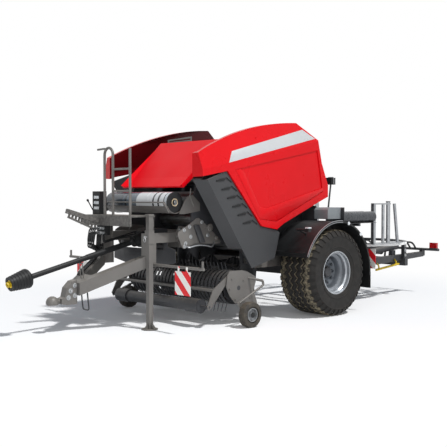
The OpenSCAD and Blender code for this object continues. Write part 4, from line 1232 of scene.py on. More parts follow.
@dataclass
class FrontFrame:
    """Bolts, bearing caps, bent fingers, cast cheeks and the guard sheet on the front of the chassis.

    Attributes:
        gusset_mm: Distance of the gussets' outer faces from the machine's middle.
        gusset_bolts: X and Z of the bolts on a gusset.
        bolt_key_mm: Width across the flats of the bolts.
        wall_mm: Distance of the chamber walls' outer faces from the machine's middle.
        chamber: X and Z of the chamber's middle, and the radius on which its rollers sit.
        roller_deg: Angles of those rollers.
        bearing_cap: Profile of the cap over a roller's bearing.
        finger: X and Z of a bent finger's corners.
        fingers_y: Y of the bent fingers under the cross beam.
        cheek: X and Z of the corners of the cast cheek on each wall.
        cheek_mm: Thickness of the cheek.
        tie: Ends of the tie from gusset to cheek, on the left.
        channel: X and Z of the corners of the channel on the cheek.
        channel_mm: Distance of the channel's foot from the wall, and its depth.
        bosses: Radius, X and Z of the cheek's bosses.
        cheek_bolts: X and Z of the cheek's bolts.
        stay: Route of the stay tube, on the left.
        guard_x: Front and rear face of the guard sheet that hangs from the front beams.
        guard: Y and Z of the guard sheet's corners on one side, from its lower edge to its ear under the beam.
    """

    gusset_mm: float = 502.0
    gusset_bolts: Outline = ((1790, 1085), (1850, 1190), (1960, 1215), (2030, 1200), (2060, 1110), (1985, 1060))
    bolt_key_mm: float = 26.0
    wall_mm: float = 650.0
    chamber: Point = (720.0, 1480.0, 690.0)
    roller_deg: tuple[float, ...] = (-38, -14, 10, 34, 58, 80)
    bearing_cap: Outline = ((0, -2), (58, -2), (58, 8), (50, 14), (22, 14), (18, 20), (0, 20))
    finger: Outline = ((1560, 1062), (1590, 1010), (1660, 982), (1760, 978))
    fingers_y: tuple[float, ...] = (-430, -260, -90, 90, 260, 430)
    cheek: Outline = (
        (2200, 1150), (2188, 1182), (1963, 1303), (1882, 1352), (1848, 1352), (1775, 1299), (1620, 1182),
        (1474, 1046), (1484, 1016), (1869, 1025), (1990, 1008), (2098, 972), (2124, 988))
    cheek_mm: float = 14.0
    tie: Route = ((2060, 502, 1100), (2060, 654, 1100))
    channel: Outline = ((1950, 1262), (1866, 1270), (1757, 1040), (1846, 1036))
    channel_mm: Flat = (8.0, 30.0)
    bosses: tuple[tuple[float, float, float], ...] = ((48.0, 1673, 1225), (26.0, 1560, 1090))
    cheek_bolts: Outline = (
        (2092, 1205), (2005, 1245), (1986, 1120), (2070, 1040), (2085, 1003), (1700, 1130), (1800, 1300))
    stay: Route = ((2050, 655, 1000), (2045, 692, 985), (1900, 692, 1012), (1777, 692, 1004), (1640, 692, 975),
                   (1590, 655, 1042))
    guard_x: Flat = (2222.0, 2214.0)
    guard: Outline = ((400, 755), (640, 800), (640, 965), (488, 1000), (488, 1051), (404, 1051), (404, 956))

    def build(self, bench: Bench) -> None:
        """Makes the fasteners, fingers and cheeks of both sides, and the guard sheet between them.

        Args:
            bench: The tools to work with.
        """
        bolts = bench.spread(bench.bolt(self.bolt_key_mm), both_sides(self.gusset_bolts, self.gusset_mm))
        bench.hand_over(bolts, "gusset_bolts", Paint.ZINC, Body.CHASSIS)
        x0, z0, radius = self.chamber
        rollers = [(x0 + radius * math.cos(math.radians(a)), z0 + radius * math.sin(math.radians(a)))
                   for a in self.roller_deg]
        caps = bench.spread(bench.turned(self.bearing_cap, sides=32), both_sides(rollers, self.wall_mm))
        bench.hand_over(caps, "roller_bearing_caps", Paint.DARK, Body.CHASSIS)
        fingers = [bench.rod([(x, y, z) for x, z in self.finger], radius_mm=7.0, bend_mm=45.0) for y in self.fingers_y]
        bench.hand_over(bench.join(*fingers), "crop_fingers", Paint.ZINC, Body.CHASSIS, TUBE_DEG)
        for side in Side:
            self.cheek_of(bench, side)
        front, rear = self.guard_x
        outline = [(front, y, z) for y, z in self.guard] + [(front, -y, z) for y, z in reversed(self.guard)]
        sheet = bench.plate(outline, (rear - front, 0.0, 0.0))
        bench.hand_over(sheet, "front_guard_sheet", Paint.DARK, Body.CHASSIS)

    def cheek_of(self, bench: Bench, side: Side) -> None:
        """Bolts a cast cheek with its tie, channel, bosses and stay tube to a chamber wall.

        Args:
            bench: The tools to work with.
            side: Side of the machine.
        """
        cheek = bench.side_plate(side, self.cheek, self.wall_mm - SET_IN_MM, self.cheek_mm, bevel_mm=3.0)
        tie = bench.rod(side.route(self.tie), radius_mm=26.0)
        bench.hand_over(bench.join(cheek, tie), f"side_cheek_{side.word}", Paint.GREY, Body.CHASSIS)
        foot, deep = self.channel_mm
        channel = bench.side_plate(side, self.channel, self.wall_mm + foot, deep, bevel_mm=4.0)
        bench.hand_over(channel, f"cheek_channel_{side.word}", Paint.DARK, Body.CHASSIS)
        top = self.wall_mm + self.cheek_mm - 2 * SET_IN_MM
        made = []
        for r, x, z in self.bosses:
            boss = bench.turned([(0, -2), (r, -2), (r, 18), (r - 8, 24), (r * 0.4, 24), (r * 0.4, 34), (0, 34)])
            made.append(bench.spread(boss, side.spots([(x, z)], top)))
        bench.hand_over(bench.join(*made), f"cheek_bosses_{side.word}", Paint.GREY, Body.CHASSIS)
        bolts = bench.spread(bench.bolt(self.bolt_key_mm), side.spots(self.cheek_bolts, top))
        bench.hand_over(bolts, f"cheek_bolts_{side.word}", Paint.ZINC, Body.CHASSIS)
        stay = bench.rod(side.route(self.stay), radius_mm=11.0, bend_mm=55.0)
        bench.hand_over(stay, f"stay_tube_{side.word}", Paint.ALUMINIUM, Body.CHASSIS, TUBE_DEG)


@dataclass
class NetStation:
    """Ends of the net roll: black side discs, the paper core and its spindle.

    Attributes:
        axle: X and Z of the roll's axis.
        end_mm: Distance of the roll's ends from the machine's middle.
        roll_mm: Radius of the roll.
        rim_mm: How far a side disc's rim stays inside the roll's.
        core: Profile of the core's end.
        spindle: Profile of the spindle's end.
    """

    axle: Flat = (2231.0, 1549.0)
    end_mm: float = 640.0
    roll_mm: float = 130.0
    rim_mm: float = 1.0
    core: Outline = ((47, -18), (47, 8), (45, 9.5), (41, 9.5), (39, 8), (39, -18), (47, -18))
    spindle: Outline = ((0, -60), (16, -60), (16, 12), (12, 16), (0, 16))

    def build(self, bench: Bench) -> None:
        """Makes both ends.

        Args:
            bench: The tools to work with.
        """
        spots = both_sides([self.axle], self.end_mm)
        rim = self.roll_mm - self.rim_mm
        disc = ((48, -1), (rim, -1), (rim, 2), (rim - 3, 4), (66, 4), (62, 2), (48, 2), (48, -1))
        for profile, sides, name, paint in ((disc, 48, "net_roll_discs", Paint.BLACK),
                                            (self.core, 40, "net_roll_core", Paint.PAPER),
                                            (self.spindle, 20, "net_roll_spindle", Paint.STEEL)):
            bench.hand_over(bench.spread(bench.turned(profile, sides=sides), spots), name, paint, Body.CHASSIS)


@dataclass
class DeckDress:
    """Small fittings on and under the front deck, and the fixed pipes from its valve block.

    Attributes:
        box_face: X of the control box's front, and the Y of its windows' ends.
        windows_z: Heights of the windows' lower edges.
        window_high: Height of a window.
        pane_rim: Width left free round a window's pane.
        pane_mm: How deep a pane is set in, and how far it stands out.
        lever: Route of the net brake's lever, from its knob down.
        knob: Profile of the lever's knob.
        knob_way: Direction that the knob looks along.
        pivot: Profile of the lever's pivot.
        pivot_at: Place of the pivot.
        port: Profile of a valve port.
        port_x: X of the ports' feet.
        valve_y: Y of the valve block's ports.
        valve_z: Heights of the two rows of ports.
        frame_pipe: X, Y from the pipe's own, Z, and how much lower the next pipe is, at a frame pipe's corners.
        frame_pipes_y: Y of the frame pipes.
        drawbar_pipe: X, Y, Z and spread of the bundle of drawbar pipes at its corners.
        drawbar_pipes: Places of the drawbar pipes across the bundle.
        grip: Route of the grip on the handrail.
    """

    box_face: Point = (2594.0, -570.0, -450.0)
    windows_z: tuple[float, ...] = (1450.0, 1520.0, 1590.0)
    window_high: float = 45.0
    pane_rim: float = 4.0
    pane_mm: Flat = (1.0, 4.0)
    lever: Route = ((2660, -612, 1572), (2550, -612, 1395), (2510, -612, 1330))
    knob: Outline = ((0, -16), (12, -14), (16, 0), (13, 14), (0, 18))
    knob_way: Point = (0.5, 0.0, 0.86)
    pivot: Outline = ((0, -14), (15, -14), (15, 16), (9, 20), (0, 20))
    pivot_at: Point = (2544, -604, 1383)
    port: Outline = ((0, -2), (19, -2), (19, 14), (13, 16), (13, 40), (17, 42), (17, 58), (11, 62), (0, 62))
    port_x: float = 2780.0
    valve_y: tuple[float, ...] = (-205.0, -165.0, -125.0, -85.0)
    valve_z: Flat = (1170.0, 1225.0)
    frame_pipe: tuple[tuple[float, ...], ...] = ((2740, 0, 1145, 0), (2740, 0, 1060, 12), (2460, 0, 1120, 12),
                                                 (2222, -10, 1170, 34))
    frame_pipes_y: tuple[float, ...] = (-135.0, -145.0, -155.0)
    drawbar_pipe: tuple[tuple[float, ...], ...] = (
        (2640, -330, 1374, 2), (2640, -395, 1100, 1), (2660, -392, 872, 1), (2900, -262, 764, 1), (3080, -162, 688, 1),
        (3112, -142, 640, 1))
    drawbar_pipes: tuple[float, ...] = (-34, -11, 12, 35)
    grip: Route = ((2700, -105, 2219), (2700, -180, 2222), (2700, -318, 2216))

    def build(self, bench: Bench) -> None:
        """Makes the windows, lever, ports, pipes and grip.

        Args:
            bench: The tools to work with.
        """
        x, y0, y1 = self.box_face
        rim, (sunk, proud) = self.pane_rim, self.pane_mm
        panes = [bench.block((x - sunk, y0 + rim, z + rim), (x + proud, y1 - rim, z + self.window_high - rim),
                             bevel_mm=1.5) for z in self.windows_z]
        bench.hand_over(bench.join(*panes), "control_box_windows", Paint.LAMP_CLEAR, Body.CHASSIS)
        arm = bench.rod(self.lever, radius_mm=7.5, bend_mm=20.0)
        knob = bench.spread(bench.turned(self.knob, sides=18), [(self.lever[0], self.knob_way)])
        pivot = bench.spread(bench.turned(self.pivot, sides=20), [(self.pivot_at, (0, -1, 0))])
        bench.hand_over(bench.join(arm, knob, pivot), "net_brake_lever", Paint.BLACK, Body.CHASSIS, smooth_deg=45.0)
        spots = [((self.port_x, y, z), (1.0, 0.0, 0.0)) for y in self.valve_y for z in self.valve_z]
        bench.hand_over(bench.spread(bench.turned(self.port, sides=20), spots), "valve_ports", Paint.ZINC, Body.CHASSIS)
        self.pipes(bench)
        grip = bench.rod(self.grip, radius_mm=13.0, bend_mm=30.0)
        bench.hand_over(grip, "rail_grip", Paint.GREY, Body.CHASSIS, TUBE_DEG)

    def pipes(self, bench: Bench) -> None:
        """Runs the pipes from the valve block to the frame, from its ports under the deck, and down to the drawbar.

        Args:
            bench: The tools to work with.
        """
        frame = [bench.rod([(x, y + dy, z - lower * i) for x, dy, z, lower in self.frame_pipe], radius_mm=8.0,
                           bend_mm=60.0) for i, y in enumerate(self.frame_pipes_y)]
        bench.hand_over(bench.join(*frame), "hydraulic_pipes", Paint.BLACK, Body.CHASSIS, TUBE_DEG)
        ports = [(y, z) for y in self.valve_y for z in reversed(self.valve_z)]
        feeds = [bench.rod(self.feed(i, y, z), radius_mm=9.0, bend_mm=85.0) for i, (y, z) in enumerate(ports)]
        bench.hand_over(bench.join(*feeds), "valve_feed_pipes", Paint.BLACK, Body.CHASSIS, TUBE_DEG)
        legs = [bench.rod([(x, y + wide * off, z) for x, y, z, wide in self.drawbar_pipe], radius_mm=10.0, bend_mm=90.0)
                for off in self.drawbar_pipes]
        bench.hand_over(bench.join(*legs), "drawbar_pipes", Paint.BLACK, Body.CHASSIS, TUBE_DEG)

    def feed(self, i: int, y: float, z: float) -> Route:
        """Gives the route of a feed pipe, out of its port, down, and back under the deck.

        Args:
            i: Number of the pipe, which sets its place in the bundle.
            y: Y of its port.
            z: Height of its port.

        Returns:
            The route's corners.
        """
        return ((2830, y, z), (2905, y, z), (2895, y - 70, z - 190), (2700, y - 215, 985 - 12 * i),
                (2548, -415 - 9 * i, 1010 - 22 * i))


@dataclass
class Drawgear:
    """Fasteners and the hanger of the drawbar, and the jack's locking pin.

    Attributes:
        head_mm: Distance of the tow head's faces from the machine's middle.
        head_bolts: X and Z of the tow head's bolts.
        bolt_key_mm: Width across the flats of those bolts.
        hanger: X, half width and lowest Z of the hanger.
        hanger_top: How far forward of its foot the hanger's top is, and the top's Z.
        pin: Profile of the locking pin.
        pin_at: Place of the pin's seat.
        loop: Route of the pin's pull ring.
    """

    head_mm: float = 55.0
    head_bolts: Outline = ((3290, 560), (3290, 440), (3350, 500), (3380, 420))
    bolt_key_mm: float = 30.0
    hanger: Point = (3101.0, 66.0, 245.0)
    hanger_top: Flat = (27.0, 505.0)
    pin: Outline = ((0, -8), (11, -8), (11, 26), (15, 28), (15, 36), (0, 38))
    pin_at: Point = (2578, 531.5, 1130)
    loop: Route = ((2608, 531.5, 1130), (2612, 505, 1092), (2612, 531.5, 1064), (2612, 558, 1092), (2608, 531.5, 1130))

    def build(self, bench: Bench) -> None:
        """Makes the bolts, the hanger and the pin.

        Args:
            bench: The tools to work with.
        """
        bolts = bench.spread(bench.bolt(self.bolt_key_mm), both_sides(self.head_bolts, self.head_mm))
        bench.hand_over(bolts, "tow_head_bolts", Paint.ZINC, Body.CHASSIS)
        (x, half, low), (ahead, top) = self.hanger, self.hanger_top
        path = [(x + ahead, half, top), (x, half, low), (x, -half, low), (x + ahead, -half, top)]
        hanger = bench.rod(path, radius_mm=9.0, bend_mm=34.0)
        bench.hand_over(hanger, "hose_hanger", Paint.DARK, Body.CHASSIS, TUBE_DEG)
        head = bench.spread(bench.turned(self.pin, sides=20), [(self.pin_at, (1.0, 0.0, 0.0))])
        loop = bench.rod(self.loop, radius_mm=3.5, bend_mm=18.0)
        bench.hand_over(bench.join(head, loop), "jack_pin", Paint.ZINC, Body.CHASSIS, smooth_deg=45.0)


@dataclass
class MudguardTrim:
    """Bright strips, marker caps and reflectors of the mudguards, and the sheets that close the gap to the tool boxes.

    Attributes:
        outer_mm: Distance of the mudguard's outer edge from the machine's middle.
        axle: X and Z of the axle.
        strips: Radii of the two strips.
        strip_mm: Half of a strip's thickness, across the edge.
        strip_deg: First and last angle of the strips.
        marker: Lowest and highest corner of the marker cap, on the left.
        reflectors: X and Z of the reflectors.
        reflector: Profile of a reflector.
        sheet_x: Front and rear face of the closing sheet.
        sheet: Y and Z of the closing sheet's corners: it stands on the arch and ends in the tool box.
        flange_x: Front end of the flange along the sheet's inner edge.
        flange_z: Lower and upper Z of the flange.
        flange_mm: Thickness of the flange.
    """

    outer_mm: float = 1435.0
    axle: Flat = (0.0, 590.0)
    strips: tuple[Flat, ...] = ((702.0, 710.0), (679.0, 686.0))
    strip_mm: float = 3.0
    strip_deg: Flat = (21.0, 96.0)
    marker: tuple[Point, Point] = ((568.0, 1368.0, 1204.0), (632.0, 1428.0, 1222.0))
    reflectors: Outline = ((-203.0, 1254.0), (-473.0, 1098.0))
    reflector: Outline = ((0, -2), (24, -2), (24, 5), (20, 8), (0, 8))
    sheet_x: Flat = (-92.0, -100.0)
    sheet: Outline = ((668.0, 1250.0), (836.0, 1250.0), (836.0, 1280.0), (964.0, 1280.0), (964.0, 1462.0),
                      (930.0, 1496.0), (668.0, 1496.0))
    flange_x: float = 8.0
    flange_z: Flat = (1250.0, 1496.0)
    flange_mm: float = 8.0

    def build(self, bench: Bench) -> None:
        """Makes the trim and the closing sheets of both sides.

        Args:
            bench: The tools to work with.
        """
        for side in Side:
            s = side.value
            y0, y1 = s * (self.outer_mm - self.strip_mm), s * (self.outer_mm + self.strip_mm)
            arcs = [bench.swept([(low, y0), (high, y0), (high, y1), (low, y1)], self.axle, self.strip_deg)
                    for low, high in self.strips]
            bench.hand_over(bench.join(*arcs), f"mudguard_trim_{side.word}", Paint.ALUMINIUM, Body.CHASSIS)
            (x0, near, z0), (x1, far, z1) = self.marker
            low, high = sorted((s * near, s * far))
            cap = bench.block((x0, low, z0), (x1, high, z1), bevel_mm=6.0)
            bench.hand_over(cap, f"marker_cap_{side.word}", Paint.LAMP_CLEAR, Body.CHASSIS)
            front, rear = self.sheet_x
            sheet = bench.plate([side.at(front, y, z) for y, z in self.sheet], (rear - front, 0.0, 0.0))
            low, high = self.flange_z
            edge = ((rear, low), (self.flange_x, low), (self.flange_x, high), (rear, high))
            flange = bench.side_plate(side, edge, self.sheet[0][0], self.flange_mm)
            bench.hand_over(bench.join(sheet, flange), f"closing_sheet_{side.word}", Paint.DARK, Body.CHASSIS)
        spots = both_sides(self.reflectors, self.outer_mm - SET_IN_MM)
        pucks = bench.spread(bench.turned(self.reflector, sides=28), spots)
        bench.hand_over(pucks, "side_reflectors", Paint.LAMP_CLEAR, Body.CHASSIS)


@dataclass
class LampDress:
    """Lenses of the work lamps and tail lamps, and the bails over the work lamps.

    Attributes:
        work: X of the work lamp's recess, its Y and its lower Z.
        pane: Lowest and highest corner of a work lamp's lens, from there.
        bail_x: X of the bails.
        bail: Y from the lamp's, and Z, of a bail's corners.
        tail_x: X of the tail lamps' rear face.
        tail_y: Distances of the amber lens's ends from the machine's middle.
        tail_z: Lower and upper Z of the tail lamps.
        tail_rim: Height left free above and below the amber lens.
        tail_mm: How far the amber lens stands out, and how deep it is set in.
    """

    work: Point = (-504.0, 900.0, 1806.2)
    pane: tuple[Point, Point] = ((-4.0, -37.0, 1.0), (1.0, 37.0, 71.0))
    bail_x: float = -470.0
    bail: Outline = ((-56, 1800), (-56, 1898), (56, 1898), (56, 1800))
    tail_x: float = -3292.0
    tail_y: Flat = (789.0, 832.0)
    tail_z: Flat = (752.0, 842.0)
    tail_rim: float = 5.0
    tail_mm: Flat = (4.0, 2.0)

    def build(self, bench: Bench) -> None:
        """Makes the lenses and bails of both sides.

        Args:
            bench: The tools to work with.
        """
        panes, bails, ambers = [], [], []
        proud, sunk = self.tail_mm
        foot, top = self.tail_z[0] + self.tail_rim, self.tail_z[1] - self.tail_rim
        for side in Side:
            lamp = side.at(*self.work)
            corners = [tuple(a + b for a, b in zip(lamp, corner)) for corner in self.pane]
            panes.append(bench.block(*corners))
            bail = [(self.bail_x, lamp[1] + dy, z) for dy, z in self.bail]
            bails.append(bench.rod(bail, radius_mm=5.0, bend_mm=22.0))
            low, high = sorted(side.value * y for y in self.tail_y)
            ambers.append(bench.block((self.tail_x - proud, low, foot), (self.tail_x + sunk, high, top)))
        bench.hand_over(bench.join(*panes), "work_lamp_lenses", Paint.LAMP_CLEAR, Body.CHASSIS)
        bench.hand_over(bench.join(*bails), "work_lamp_bails", Paint.ALUMINIUM, Body.CHASSIS, TUBE_DEG)
        bench.hand_over(bench.join(*ambers), "tail_lamp_lenses", Paint.LAMP_AMBER, Body.CHASSIS)


@dataclass
class PickupDress:
    """Bolts on the pickup's side shields and the sheets behind its reel.

    Attributes:
        shield_mm: Distance of the shields' outer faces from the machine's middle.
        bolts: X and Z of the bolts.
        bolt_key_mm: Width across the flats of the bolts.
        sheet: X and Z of the corners of a back sheet's edge, from the cross tube up.
        sheet_y: Y at which a back sheet starts and ends.
    """

    shield_mm: float = 1022.0
    bolts: Outline = ((1300, 330), (1560, 330), (1660, 470), (1620, 590), (1420, 560))
    bolt_key_mm: float = 19.0
    sheet: Outline = ((1184, 246), (1179, 240), (1140, 330), (1140, 745), (1146, 745), (1146, 332))
    sheet_y: Flat = (690.0, 945.0)

    def build(self, bench: Bench) -> None:
        """Sets the bolts and the back sheets of both sides.

        Args:
            bench: The tools to work with.
        """
        bolts = bench.spread(bench.bolt(self.bolt_key_mm), both_sides(self.bolts, self.shield_mm))
        bench.hand_over(bolts, "shield_bolts", Paint.GREY, Body.PICKUP)
        start, end = self.sheet_y
        for side in Side:
            back = bench.side_plate(side, self.sheet, start, end - start, bevel_mm=0.8)
            bench.hand_over(back, f"pickup_back_sheet_{side.word}", Paint.DARK, Body.PICKUP)


@dataclass
class WrapperDress:
    """Fittings of the wrapper: step bars, post bolts, fixed pipes, film cores and caps on the film rollers.

    Attributes:
        step: Ends of the step bar, on the left.
        step_stays: X and Z at which the bar's stays meet it.
        stay_rise: Heights over the bar at which a stay bends, and at which it meets the frame.
        stay_mm: Distance of the stays' tops from the machine's middle.
        post_mm: Distance of the posts' outer faces from the machine's middle.
        posts_x: X of the posts.
        post_bolts_z: Heights of the bolts on a post.
        bolt_key_mm: Width across the flats of those bolts.
        pipe: X, share of the pipe's own Y, and Z, at a pipe's corners.
        pipes_y: Y of the pipes at the front.
        film_core: Profile of a film roll's core.
        film_end: X and Z of the spare film rolls' rear ends.
        films_y: Distances of the spare film rolls from the machine's middle.
        ring_mm: X of the ring's middle.
        ring_r: Radius on which the dispensers stand.
        roller: Place of the wide film roller along the dispenser, its radius and its top.
    """

    step: Route = ((-1848, 708, 462), (-2462, 708, 523))
    step_stays: Outline = ((-1920, 469), (-2390, 516))
    stay_rise: Flat = (60.0, 95.0)
    stay_mm: float = 660.0
    post_mm: float = 737.0
    posts_x: Flat = (-1190.0, -2610.0)
    post_bolts_z: tuple[float, ...] = (660, 740, 820)
    bolt_key_mm: float = 24.0
    pipe: tuple[tuple[float, float, float], ...] = (
        (-2612, 1.0, 600), (-2650, 1.0, 835), (-2900, 1.1, 850), (-3170, 1.2, 842), (-3276, 1.2, 726))
    pipes_y: tuple[float, ...] = (-420.0, -330.0, 330.0, 420.0)
    film_core: Outline = ((34, -14), (46, -14), (46, 4), (44, 6), (36, 6), (34, 4), (34, -14))
    film_end: Flat = (-1080.0, 1326.0)
    films_y: Flat = (1010.0, 1180.0)
    ring_mm: float = -1900.0
    ring_r: float = 1000.0
    roller: Point = (158.0, 33.0, 1540.0)

    def build(self, bench: Bench) -> None:
        """Makes the fittings of both sides.

        Args:
            bench: The tools to work with.
        """
        for side in Side:
            self.step_bar(bench, side)
        places = [(x, z) for x in self.posts_x for z in self.post_bolts_z]
        bolts = bench.spread(bench.bolt(self.bolt_key_mm), both_sides(places, self.post_mm))
        bench.hand_over(bolts, "post_bolts", Paint.ZINC, Body.CHASSIS)
        pipes = [bench.rod([(x, y * share, z) for x, share, z in self.pipe], radius_mm=16.0, bend_mm=110.0)
                 for y in self.pipes_y]
        bench.hand_over(bench.join(*pipes), "wrapper_pipes", Paint.BLACK, Body.CHASSIS, TUBE_DEG)
        x, z = self.film_end
        spots = [(side.at(x, y, z), (-1.0, 0.0, 0.0)) for side in Side for y in self.films_y]
        cores = bench.spread(bench.turned(self.film_core, sides=32), spots)
        bench.hand_over(cores, "film_roll_cores", Paint.PAPER, Body.CHASSIS)
        along, radius, top = self.roller
        cap = bench.turned([(0, -3), (radius + 2, -3), (radius + 2, 6), (radius - 6, 9), (0, 10)], sides=28)
        spots = [((self.ring_mm + side.value * along, side.value * self.ring_r, top), (0.0, 0.0, 1.0)) for side in Side]
        bench.hand_over(bench.spread(cap, spots), "film_roller_caps", Paint.BLACK, Body.RING)

    def step_bar(self, bench: Bench, side: Side) -> None:
        """Hangs the step bar of one side from the frame.

        Args:
            bench: The tools to work with.
            side: Side of the machine.
        """
        bend, top = self.stay_rise
        bar = bench.rod(side.route(self.step), radius_mm=18.0)
        y = self.step[0][1]
        stays = [bench.rod(side.route(((x, self.stay_mm, z + top), (x, y, z + bend), (x, y, z))), radius_mm=13.0,
                           bend_mm=30.0) for x, z in self.step_stays]
        bench.hand_over(bench.join(bar, *stays), f"step_bar_{side.word}", Paint.YELLOW, Body.CHASSIS, TUBE_DEG)


@dataclass
class TailgateRibs:
    """Pressed ribs across the back of the tailgate.

    Attributes:
        chamber: X and Z of the chamber's middle.
        sheet_mm: Outer radius of the tailgate's sheet.
        sunk_mm: How deep a rib's foot is set into the sheet.
        high_mm: Height of a rib.
        half_mm: Half of a rib's width at its foot.
        slant_mm: How much narrower each side of a rib is at its top.
        half_long: Half of a rib's length.
        angles: Angles of the ribs, from forwards.
    """

    chamber: Flat = (720.0, 1480.0)
    sheet_mm: float = 792.0
    sunk_mm: float = 2.0
    high_mm: float = 14.0
    half_mm: float = 32.0
    slant_mm: float = 10.0
    half_long: float = 560.0
    angles: tuple[float, ...] = (118.0, 134.0, 150.0, 166.0, 182.0, 198.0)

    def build(self, bench: Bench) -> None:
        """Presses all the ribs.

        Args:
            bench: The tools to work with.
        """
        foot, crest = self.half_mm, self.half_mm - self.slant_mm
        corners = [(-self.sunk_mm, -foot), (-self.sunk_mm, foot), (self.high_mm, crest), (self.high_mm, -crest)]
        ribs = []
        for angle in self.angles:
            c, s = math.cos(math.radians(angle)), math.sin(math.radians(angle))
            outline = [(self.chamber[0] + (self.sheet_mm + up) * c - across * s, -self.half_long,
                        self.chamber[1] + (self.sheet_mm + up) * s + across * c) for up, across in corners]
            ribs.append(bench.plate(outline, (0.0, 2 * self.half_long, 0.0), bevel_mm=4.0))
        bench.hand_over(bench.join(*ribs), "tailgate_ribs", Paint.DARK, Body.TAILGATE)


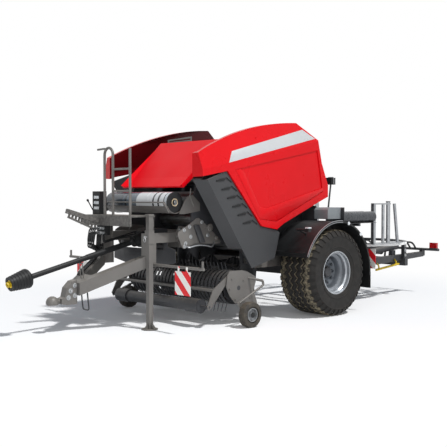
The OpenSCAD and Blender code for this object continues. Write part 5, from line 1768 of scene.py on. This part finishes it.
@dataclass
class Studio:
    """Camera, lamps, world and floor.

    Attributes:
        eye: Camera place in metres.
        yaw_deg: Compass direction that the camera looks along, from +X.
        pitch_deg: Upward tilt of the camera.
        lens_mm: Focal length.
        sensor_mm: Width of the sensor.
        sky: Strength of the even light.
        sky_colour: Colour of the even light.
        sun: Strength of the key.
        sun_deg: Turns of the key about X, Y and Z.
        sun_soft_deg: Angle that the key takes up in the sky.
        fill_w: Power of the fill beside the camera.
        fill_at: Place of the fill, in metres.
        fill_towards: Point that the fill looks at.
        fill_m: Width of the fill.
        floor_m: Width of the floor.
        fade_m: Distances from the machine's middle at which the floor starts to turn white, and is white.
        glow: Least share of white on the floor.
    """

    eye: Point = (8.475 + AXLE_X, 8.1333, 1.6232)
    yaw_deg: float = -133.3417
    pitch_deg: float = -1.9579
    lens_mm: float = 63.80
    sensor_mm: float = 36.0
    sky: float = 0.22
    sky_colour: str = "#DCE8F8"
    sun: float = 2.65
    sun_deg: Point = (28.0, 14.0, 168.0)
    sun_soft_deg: float = 4.0
    fill_w: float = 230.0
    fill_at: Point = (7.0, 7.0, 5.0)
    fill_towards: Point = (0.3, 0.5, 1.2)
    fill_m: float = 6.0
    floor_m: float = 160.0
    fade_m: Flat = (3.2, 7.5)
    glow: float = 0.07

    def build(self) -> None:
        """Sets up everything round the machine."""
        self.camera()
        self.world()
        self.lamps()
        self.floor()
        bpy.context.scene.view_settings.view_transform = "Standard"

    def camera(self) -> None:
        """Puts the camera where the photograph was taken from."""
        bpy.ops.object.camera_add(location=self.eye,
                                  rotation=(math.radians(90 + self.pitch_deg), 0, math.radians(self.yaw_deg - 90)))
        camera = bpy.context.object
        camera.name = "photo_camera"
        camera.data.lens = self.lens_mm
        camera.data.sensor_width = self.sensor_mm
        camera.data.clip_end = 200.0
        bpy.context.scene.camera = camera

    def white_rays(self, tree: Tree) -> Socket:
        """Gives 1 for rays that show the backdrop: seen directly, in metal or through glass.

        Args:
            tree: The node tree to add to.

        Returns:
            The share of white.
        """
        path = node(tree, "ShaderNodeLightPath")
        share = path.outputs["Is Camera Ray"]
        for ray in ("Is Glossy Ray", "Is Transmission Ray"):
            share = node(tree, "ShaderNodeMath", {0: share, 1: path.outputs[ray]}, operation="MAXIMUM").outputs["Value"]
        return share

    def world(self) -> None:
        """Lights the scene evenly and shows white behind the machine."""
        world = bpy.data.worlds.new("studio_white")
        bpy.context.scene.world = world
        world.use_nodes = True
        tree = world.node_tree
        tree.nodes.clear()
        fill = node(tree, "ShaderNodeBackground", {"Color": srgb(self.sky_colour), "Strength": self.sky})
        backdrop = node(tree, "ShaderNodeBackground", {"Color": (1, 1, 1, 1), "Strength": 1.0})
        mixed = node(tree, "ShaderNodeMixShader", {0: self.white_rays(tree), 1: fill.outputs[0],
                                                   2: backdrop.outputs[0]})
        node(tree, "ShaderNodeOutputWorld", {"Surface": mixed.outputs[0]})

    def lamps(self) -> None:
        """Hangs a soft key high on the left and a wide fill beside the camera."""
        bpy.ops.object.light_add(type="SUN", rotation=[math.radians(turn) for turn in self.sun_deg])
        key = bpy.context.object
        key.name = "key_sun"
        key.data.energy = self.sun
        key.data.angle = math.radians(self.sun_soft_deg)
        bpy.ops.object.light_add(type="AREA", location=self.fill_at)
        fill = bpy.context.object
        fill.name = "side_fill"
        fill.data.energy = self.fill_w
        fill.data.size = self.fill_m
        fill.rotation_euler = (Vector(self.fill_towards) - fill.location).to_track_quat("-Z", "Y").to_euler()

    def floor(self) -> None:
        """Lays a matt pale floor that takes the machine's shadow and fades to white away from it."""
        bpy.ops.mesh.primitive_plane_add(size=self.floor_m)
        floor = bpy.context.object
        floor.name = "studio_floor"
        bpy.ops.object.mode_set(mode="EDIT")
        bpy.ops.mesh.subdivide(number_cuts=3)
        bpy.ops.object.mode_set(mode="OBJECT")
        made = bpy.data.materials.new("matt_white_floor")
        made.use_nodes = True
        tree = made.node_tree
        tree.nodes.clear()
        where = node(tree, "ShaderNodeTexCoord").outputs["Object"]
        radius = node(tree, "ShaderNodeVectorMath", {0: where}, operation="LENGTH").outputs["Value"]
        near, white = self.fade_m
        far = node(tree, "ShaderNodeMapRange", {"Value": radius, "From Min": near, "From Max": white},
                   interpolation_type="SMOOTHSTEP").outputs["Result"]
        far = node(tree, "ShaderNodeMath", {0: far, 1: self.glow}, operation="MAXIMUM").outputs["Value"]
        matt = node(tree, "ShaderNodeBsdfDiffuse", {"Color": srgb("#FFFFFF")})
        glow = node(tree, "ShaderNodeEmission", {"Color": (1, 1, 1, 1), "Strength": 1.0})
        seen = node(tree, "ShaderNodeMath", {0: far, 1: self.white_rays(tree)}, operation="MULTIPLY").outputs["Value"]
        mixed = node(tree, "ShaderNodeMixShader", {0: seen, 1: matt.outputs[0], 2: glow.outputs[0]})
        node(tree, "ShaderNodeOutputMaterial", {"Surface": mixed.outputs[0]})
        floor.data.materials.append(made)


def main() -> None:
    """Builds the studio and dresses the machine."""
    logging.basicConfig(level=logging.INFO, format="%(message)s")
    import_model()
    bpy.ops.object.select_all(action="DESELECT")
    Studio().build()
    shop = PaintShop()
    shop.coat_nodes({name: bpy.data.objects[name] for group in NODE_PAINT.values() for name in group})
    bench = Bench(shop)
    pieces = [MainTyre(Side.LEFT), MainTyre(Side.RIGHT), WheelFittings(), DoorTrim(), PanelLouvres(), FrontFrame(),
              NetStation(), DeckDress(), Drawgear(), MudguardTrim(), LampDress(), PickupDress(), WrapperDress(),
              TailgateRibs()]
    for piece in pieces:
        piece.build(bench)


if __name__ == "__main__":
    main()
